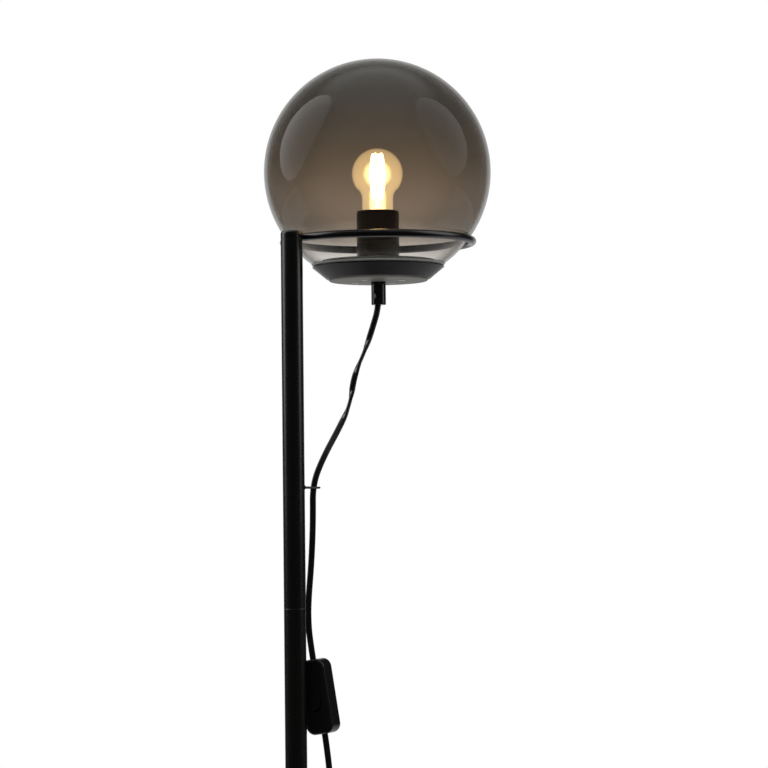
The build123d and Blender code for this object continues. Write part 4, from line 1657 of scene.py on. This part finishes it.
        mesh = swept("loop_wire", points, sides, section)
        new_piece("loop_wire", mesh, COAT, Body.STAND, ["cord_loop"])


# ---- the head --------------------------------------------------------------------------------


@dataclass
class Head:
    """The globe, its gasket, the dish, the pan and the lamp holder. Sizes are in mm."""

    axis_x: float
    globe_z: float = 1377.4
    globe_radius: float = 100.0
    glass_wall: float = 2.0
    mouth_radius: float = 53.5
    lip: float = 0.8
    lip_height: float = 3.2
    inner_lip_height: float = 6.5
    gasket_floor: float = 1.2
    dish_radius: float = 58.9
    dish_floor_radius: float = 45.6
    dish_depth: float = 11.0
    dish_above_mouth: float = 0.8
    dish_flange: float = 7.0
    sheet: float = 1.0
    pan_gap: float = 0.15
    pan_collar: float = 5.0
    nipple_hole: float = 5.1
    holder_radius: float = 18.75
    holder_wall: float = 2.2
    holder_low: float = 1292.715
    holder_seam: float = 1314.715
    holder_top: float = 1342.715
    holder_round: float = 13.0
    holder_step: float = 0.25
    holder_step_low: float = 2.2
    holder_step_high: float = 1.8
    glass_steps: int = 110

    def sphere_at(self, height: float, radius: float) -> float:
        """Returns the radius of a ball about the globe's centre, at a height."""
        return math.sqrt(radius**2 - (height - self.globe_z) ** 2)

    @property
    def mouth_z(self) -> float:
        """Returns the height of the glass's cut edge."""
        return self.globe_z - math.sqrt(self.globe_radius**2 - self.mouth_radius**2)

    @property
    def bore(self) -> float:
        """Returns the inner radius of the glass at its edge."""
        return self.sphere_at(self.mouth_z, self.globe_radius - self.glass_wall)

    def build(self) -> None:
        """Builds the head."""
        self.build_glass()
        self.build_gasket()
        self.build_dish()
        self.build_pan()
        self.build_holder()

    def turn(
        self,
        name: str,
        profile: Profile,
        finish: Finish,
        body: Body,
        node: str,
        segments: int = 192,
    ) -> None:
        """Turns one piece about the head's axis.

        Args:
            name: The piece's name.
            profile: (radius, height) in mm.
            finish: What it is made of.
            body: The CAD body that it rides on.
            node: The CAD node that it stands for.
            segments: How many steps go round.
        """
        mesh = turned(name, profile, self.axis_x, segments=segments)
        new_piece(name, mesh, finish, body, [node])

    def arc(self, radius: float) -> Profile:
        """Returns the points of a ball about the globe's centre, from its top to the mouth."""
        reach = math.acos((self.mouth_z - self.globe_z) / radius)
        angles = [reach * n / self.glass_steps for n in range(self.glass_steps + 1)]
        return [(radius * math.sin(a), self.globe_z + radius * math.cos(a)) for a in angles]

    def build_glass(self) -> None:
        """Builds the blown ball with its cut and ground edge."""
        outside = self.arc(self.globe_radius)
        inside = self.arc(self.globe_radius - self.glass_wall)
        line = outside + inside[::-1]
        self.turn("smoked_ball", line, SMOKE, Body.GLOBE, "glass_globe", 224)

    def build_gasket(self) -> None:
        """Builds the silicone channel on the glass's edge."""
        edge, top = self.mouth_z, self.mouth_z + self.lip_height
        low, inner_top = edge - self.gasket_floor, edge + self.inner_lip_height
        outside = self.globe_radius + self.lip
        middle = edge + self.lip_height / 2
        line = rounded([
            (self.sphere_at(low, outside), low, 0.5),
            (self.sphere_at(middle, outside), middle, 0),
            (self.sphere_at(top, outside), top, 0.35),
            (self.sphere_at(top, self.globe_radius), top, 0.08),
            (self.sphere_at(middle, self.globe_radius), middle, 0),
            (self.mouth_radius, edge, 0),
            (self.bore, edge, 0),
            (self.bore, inner_top, 0.08),
            (self.bore - self.lip, inner_top, 0.35),
            (self.bore - self.lip, low, 0.5),
        ])
        self.turn("gasket", line, SILICONE, Body.GLOBE, "seal_ring")

    def build_dish(self) -> None:
        """Builds the pressed dish."""
        rim = self.mouth_z + self.dish_above_mouth
        floor = rim - self.dish_depth
        flare = (self.dish_radius - self.dish_floor_radius) / self.dish_depth
        side = self.sheet * math.sqrt(1 + flare**2)
        inside = self.dish_floor_radius + self.sheet * flare - side
        line = rounded([
            (self.dish_radius, rim, 0.45),
            (self.dish_floor_radius, floor, 1.6),
            (self.dish_floor_radius - self.dish_flange, floor, 0.2),
            (self.dish_floor_radius - self.dish_flange, floor + self.sheet, 0.2),
            (inside, floor + self.sheet, 1.0),
            (self.dish_radius - side, rim, 0.3),
        ], steps=8)
        self.turn("dish", line, DISH_COAT, Body.FITTING, "cover_dish")

    def build_pan(self) -> None:
        """Builds the pan that stands in the gasket."""
        low = self.mouth_z - self.gasket_floor - self.sheet
        top = low + self.sheet + self.pan_collar
        outer = self.bore - self.lip - self.pan_gap
        line = rounded([
            (self.nipple_hole, low, 0.1),
            (outer, low, 1.5),
            (outer, top, 0.45),
            (outer - self.sheet, top, 0.45),
            (outer - self.sheet, low + self.sheet, 0.6),
            (self.nipple_hole, low + self.sheet, 0.1),
        ])
        self.turn("pan", line, PAN, Body.FITTING, "socket_pan")

    def build_holder(self) -> None:
        """Builds the lamp holder's two shells."""
        radius, inner = self.holder_radius, self.holder_radius - self.holder_wall
        seam, top, low = self.holder_seam, self.holder_top, self.holder_low
        skirt = rounded([
            (radius, seam, 0.35),
            (radius, top - self.holder_step_low, 0),
            (radius - self.holder_step, top - self.holder_step_high, 0),
            (radius - self.holder_step, top, 0.8),
            (inner, top, 0.7),
            (inner, seam, 0.1),
        ])
        self.turn("holder_skirt", skirt, BAKELITE, Body.FITTING, "socket_skirt", 128)
        base = rounded([
            (self.nipple_hole, low, 0.2),
            (radius, low, self.holder_round),
            (radius, seam, 0.35),
            (inner, seam, 0.1),
            (inner, low + self.holder_wall, self.holder_round - self.holder_wall),
            (self.nipple_hole, low + self.holder_wall, 0.2),
        ], steps=12)
        self.turn("holder_base", base, BAKELITE, Body.FITTING, "socket_base", 128)


# ---- the bulb --------------------------------------------------------------------------------


@dataclass
class Bulb:
    """The ball bulb: its glass, threaded cap and lit filaments. Sizes are in mm."""

    axis_x: float
    ball_z: float = 1375.915
    ball_radius: float = 22.5
    shoulder_degrees: float = 126.0
    neck_radius: float = 13.8
    cap_top: float = 1340.215
    cap_collar: float = 2.5
    cap_radius: float = 13.1
    cap_length: float = 21.0
    cap_wall: float = 0.8
    thread_pitch: float = 3.63
    thread_depth: float = 0.8
    thread_sharpness: float = 1.3
    thread_plain: float = 1.2
    thread_fade: float = 1.8
    cap_steps_round: int = 96
    cap_steps_down: int = 84
    ball_steps: int = 56
    neck_steps: int = 14
    filament_count: int = 4
    filament_radius: float = 1.3
    filament_length: float = 40.0
    filament_spread: float = 6.2
    filament_lean: float = 0.35
    filament_start_degrees: float = 25.0
    filament_z: float = 1374.415
    filament_tip: float = 0.15
    filament_steps: int = 40
    glow_power: float = 1.2
    glow_colour: Colour = (1.0, 0.62, 0.28)
    glow_radius: float = 15.0

    def build(self) -> None:
        """Builds the bulb."""
        self.build_glass()
        self.build_cap()
        self.build_filaments()
        self.light()

    def build_glass(self) -> None:
        """Builds the thin glass: a ball that turns into a neck."""
        shoulder = math.radians(self.shoulder_degrees)
        line: Profile = []
        for n in range(self.ball_steps + 1):
            angle = shoulder * n / self.ball_steps
            x, z = self.ball_radius * math.sin(angle), self.ball_radius * math.cos(angle)
            line.append((x, self.ball_z + z))
        turn = math.pi - shoulder
        bend = (line[-1][0] - self.neck_radius) / (1 - math.cos(turn))
        neck_z = line[-1][1] - bend * math.sin(turn)
        for n in range(self.neck_steps - 1, -1, -1):
            angle = turn * n / self.neck_steps
            x, z = bend * (1 - math.cos(angle)), bend * math.sin(angle)
            line.append((self.neck_radius + x, neck_z + z))
        line.append((self.neck_radius, self.cap_top + self.cap_collar))
        line.append((self.cap_radius - self.cap_wall, self.cap_top))
        mesh = turned("bulb_ball", line, self.axis_x, closed=False, segments=128)
        new_piece("bulb_ball", mesh, BULB_GLASS, Body.BULB, ["bulb_glass"])

    def thread(self, drop: float, angle: float) -> float:
        """Finds the cap's radius on its screw thread, which fades out at both ends.

        Args:
            drop: The distance under the cap's top.
            angle: The angle round the cap, in radians.

        Returns:
            The radius there, in mm.
        """
        phase = (drop / self.thread_pitch + angle / (2 * math.pi)) % 1.0
        groove = (0.5 - 0.5 * math.cos(2 * math.pi * phase)) ** self.thread_sharpness
        fade = clamped((drop - self.thread_plain) / self.thread_fade)
        tail = clamped((drop - self.cap_length + self.thread_plain) / self.thread_plain)
        return self.cap_radius - self.thread_depth * (groove * fade * (1 - tail) + tail)

    def in_lamp(self, x: float, y: float, z: float) -> Triple:
        """Returns a point beside the bulb's axis, given in mm, in the lamp's own metres."""
        return (self.axis_x + x * MM, y * MM, z * MM)

    def build_cap(self) -> None:
        """Builds the cap with a real screw thread."""
        solid = bmesh.new()
        columns = []
        for angle in turns(self.cap_steps_round):
            x, y = math.cos(angle), math.sin(angle)
            column = []
            for k in range(self.cap_steps_down + 1):
                drop = self.cap_length * k / self.cap_steps_down
                column.append((self.thread(drop, angle), drop))
            column += [(radius - self.cap_wall, drop) for radius, drop in reversed(column)]
            places = [(r * x, r * y, self.cap_top - drop) for r, drop in column]
            columns.append([solid.verts.new(self.in_lamp(*place)) for place in places])
        join_round(solid, columns)
        mesh = to_mesh("threaded_cap", solid, 60.0)
        new_piece("threaded_cap", mesh, NICKEL, Body.BULB, ["bulb_cap"])

    def build_filaments(self) -> None:
        """Builds the filaments, which lean together towards both ends."""
        solid = bmesh.new()
        half, radius = self.filament_length / 2, self.filament_radius
        for turn in turns(self.filament_count):
            angle = math.radians(self.filament_start_degrees) + turn
            off_x = self.filament_spread * math.cos(angle)
            off_y = self.filament_spread * math.sin(angle)
            rings = []
            for k in range(self.filament_steps + 1):
                rise = -half + 2 * half * k / self.filament_steps
                lean = 1 - self.filament_lean * (rise / half) ** 2
                cap = max(abs(rise) - half + radius, 0.0)
                size = max(math.sqrt(max(radius**2 - cap**2, 0.0)), self.filament_tip)
                z = self.filament_z + rise
                ring = [(off_x * lean + a, off_y * lean + b, z) for a, b in round_section(size, 14)]
                rings.append([solid.verts.new(self.in_lamp(*place)) for place in ring])
            join_along(solid, rings)
        mesh = to_mesh("glowing_filaments", solid)
        new_piece("glowing_filaments", mesh, FILAMENT, Body.BULB, ["filaments"])

    def light(self) -> None:
        """Adds the light that the filaments throw."""
        data = bpy.data.lights.new("glow", "POINT")
        data.energy = self.glow_power
        data.color = self.glow_colour
        data.shadow_soft_size = self.glow_radius * MM
        lamp = placed("glow", data)
        lamp.location = self.in_lamp(0.0, 0.0, self.ball_z)
        lamp.visible_camera = False
        lamp.visible_glossy = False
        lamp.visible_transmission = False


# ---- the plug and the tie --------------------------------------------------------------------


@dataclass
class Plug:
    """The flat two-pin plug and its strain relief. Sizes are in mm."""

    start: Vector
    relief_length: float = 22.0
    relief_steps: int = 88
    relief_root: Pair = (3.2, 2.2)
    relief_growth: Pair = (1.4, 2.4)
    relief_grooves: int = 6
    relief_groove: float = 0.09
    relief_grooved: Span = (0.12, 0.95)
    body_length: float = 35.0
    body_steps: int = 70
    body_even_steps: int = 68
    body_end: tuple[float, ...] = (33.7, 34.1, 34.5, 34.8, 35.0)
    finger_grooves: tuple[float, ...] = (12.5, 16.0, 19.5, 23.0)
    finger_depth: float = 0.9
    finger_width: float = 0.7
    stations: tuple[Triple, ...] = (
        (0.0, 17.5, 11.2),
        (4.0, 21.5, 12.2),
        (10.0, 31.5, 14.0),
        (22.0, 33.4, 14.0),
        (33.4, 35.0, 14.0),
        (34.7, 33.8, 12.8),
        (35.0, 31.8, 11.0),
    )
    corner: float = 4.6
    pin_spacing: float = 18.6
    sleeve_radius: float = 2.12
    sleeve_length: float = 9.5
    sleeve_root: float = 0.5
    sleeve_bevel: float = 0.3
    sleeve_end: float = 0.94

    def place(self, side: float, forward: float, up: float) -> Vector:
        """Returns a point beside, in front of and above the plug's start."""
        x, y, z = self.start
        return Vector((x - side * MM, y + forward * MM, z + up * MM))

    def build(self) -> list[bpy.types.Object]:
        """Builds the plug's pieces and returns them."""
        return [self.build_relief(), self.build_body(), self.build_sleeves()]

    def build_relief(self) -> bpy.types.Object:
        """Builds the ribbed strain relief.

        Returns:
            The piece.
        """
        steps = self.relief_steps
        line = [self.place(0, self.relief_length * n / steps, 0) for n in range(steps + 1)]
        sides = [Vector((1, 0, 0))] * len(line)
        (wide, thin), (wider, thicker) = self.relief_root, self.relief_growth
        first, last = self.relief_grooved

        def section(i: int) -> Profile:
            """Works out an oval that grows and has grooves across it.

            Args:
                i: The place along the line.

            Returns:
                The oval's points, in metres.
            """
            share = i / steps
            wave = 0.5 - 0.5 * math.cos(2 * math.pi * self.relief_grooves * share)
            groove = 1 - self.relief_groove * wave**3 * (first < share < last)
            half_x, half_y = (wide + wider * share) * groove, (thin + thicker * share) * groove
            return [(half_x * MM * a, half_y * MM * b) for a, b in round_section(1.0, 32)]

        mesh = swept("ribbed_relief", line, sides, section)
        return new_piece("ribbed_relief", mesh, PLUG_BLACK, Body.STAND, ["plug_relief"])

    def width_at(self, forward: float) -> Pair:
        """Finds the body's width and thickness.

        Args:
            forward: The distance from its neck.

        Returns:
            The two sizes, in mm.
        """
        for (a, wide_a, thick_a), (b, wide_b, thick_b) in zip(self.stations, self.stations[1:]):
            if forward <= b:
                share = (forward - a) / (b - a)
                return wide_a + (wide_b - wide_a) * share, thick_a + (thick_b - thick_a) * share
        return self.stations[-1][1:]

    def build_body(self) -> bpy.types.Object:
        """Builds the body with finger grooves across its neck.

        Returns:
            The piece.
        """
        reach = [self.body_length * n / self.body_steps for n in range(self.body_even_steps)]
        reach += self.body_end
        line = [self.place(0, self.relief_length + forward, 0) for forward in reach]
        sides = [Vector((1, 0, 0))] * len(line)

        def section(i: int) -> Profile:
            """Works out a rounded rectangle.

            Args:
                i: The place along the line.

            Returns:
                The rectangle's points, in metres.
            """
            wide, thick = self.width_at(reach[i])
            offs = [(reach[i] - at) / self.finger_width for at in self.finger_grooves]
            thick -= self.finger_depth * sum(math.exp(-(off**2)) for off in offs)
            size = min(self.corner, thick / 2 - 0.1)
            return [(x * MM, y * MM) for (x, y), _ in box_section(wide / 2, thick / 2, size, 48)]

        mesh = swept("plug_shell", line, sides, section)
        return new_piece("plug_shell", mesh, PLUG_BLACK, Body.STAND, ["plug_body"])

    def build_sleeves(self) -> bpy.types.Object:
        """Builds the plastic sleeves on the pins' roots.

        Returns:
            The piece.
        """
        solid = bmesh.new()
        front = self.relief_length + self.body_length
        shape = (
            (-self.sleeve_root, 1.0),
            (self.sleeve_length - self.sleeve_bevel, 1.0),
            (self.sleeve_length, self.sleeve_end),
        )
        for side in (-self.pin_spacing / 2, self.pin_spacing / 2):
            rings = []
            for forward, size in shape:
                ring = round_section(self.sleeve_radius * size, 32)
                places = [self.place(side + a, front + forward, b) for a, b in ring]
                rings.append([solid.verts.new(place) for place in places])
            join_along(solid, rings)
        return new_piece("pin_sleeves", to_mesh("pin_sleeves", solid), PLUG_BLACK, Body.STAND)


@dataclass
class Tie:
    """The flat strap round the coil. Sizes are in mm."""

    centre: Vector
    degrees: float = 305.0
    inner: float = 19.634
    outer: float = 39.65
    low: float = 0.9
    high: float = 8.6
    corner: float = 2.6
    thickness: float = 0.8
    width: float = 5.0
    strap: tuple[Pair, ...] = (
        (0.0, -1.0),
        (0.0, 1.0),
        (0.75, 1.0),
        (1.0, 0.92),
        (1.0, -0.92),
        (0.75, -1.0),
    )

    def build(self) -> bpy.types.Object:
        """Builds the strap as a closed band.

        Returns:
            The piece.
        """
        angle = math.radians(self.degrees)
        out = Vector((math.cos(angle), math.sin(angle), 0.0))
        across = Vector((-out.y, out.x, 0.0))
        half_x, half_z = (self.outer - self.inner) / 2, (self.high - self.low) / 2
        middle = self.centre + out * (self.inner + half_x) + Vector((0, 0, self.low + half_z))
        solid = bmesh.new()
        rings = []
        for (x, z), (c, s) in box_section(half_x, half_z, self.corner, 96):
            away = out * c + Vector((0, 0, s))
            base = middle + out * x + Vector((0, 0, z))
            rise, half = away * self.thickness, across * (self.width / 2)
            ring = [base + rise * h + half * w for h, w in self.strap]
            rings.append([solid.verts.new(point * MM) for point in ring])
        join_round(solid, rings)
        mesh = to_mesh("coil_strap", solid, 30.0)
        return new_piece("coil_strap", mesh, TIE, Body.STAND, ["coil_tie"])


# ---- the whole lamp --------------------------------------------------------------------------


def dress_solids() -> None:
    """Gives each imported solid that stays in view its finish."""
    for finish, names in CAD_FINISHES.items():
        for name in names:
            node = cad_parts[name]
            if not node.material_slots:
                node.data.materials.append(finish.material())
            for slot in node.material_slots:
                slot.material = finish.material()
            log.info("%s: %s", name, finish.name)


def main() -> None:
    """Builds the scene."""
    logging.basicConfig(level=logging.INFO, format="%(name)s: %(message)s")
    Studio().build()
    globe_low, globe_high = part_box("glass_globe")
    axis_x = (globe_low.x + globe_high.x) / 2
    cords = Cords(Vector((axis_x, 0.0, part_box("cord_grip")[0].z)))
    tie = Tie(cords.coil_centre).build()
    plug = Plug(cords.lower_points()[-1]).build()
    cords.build(plug + [tie])
    Stand().build(axis_x)
    Head(axis_x).build()
    Bulb(axis_x).build()
    dress_solids()


if __name__ == "__main__":
    main()
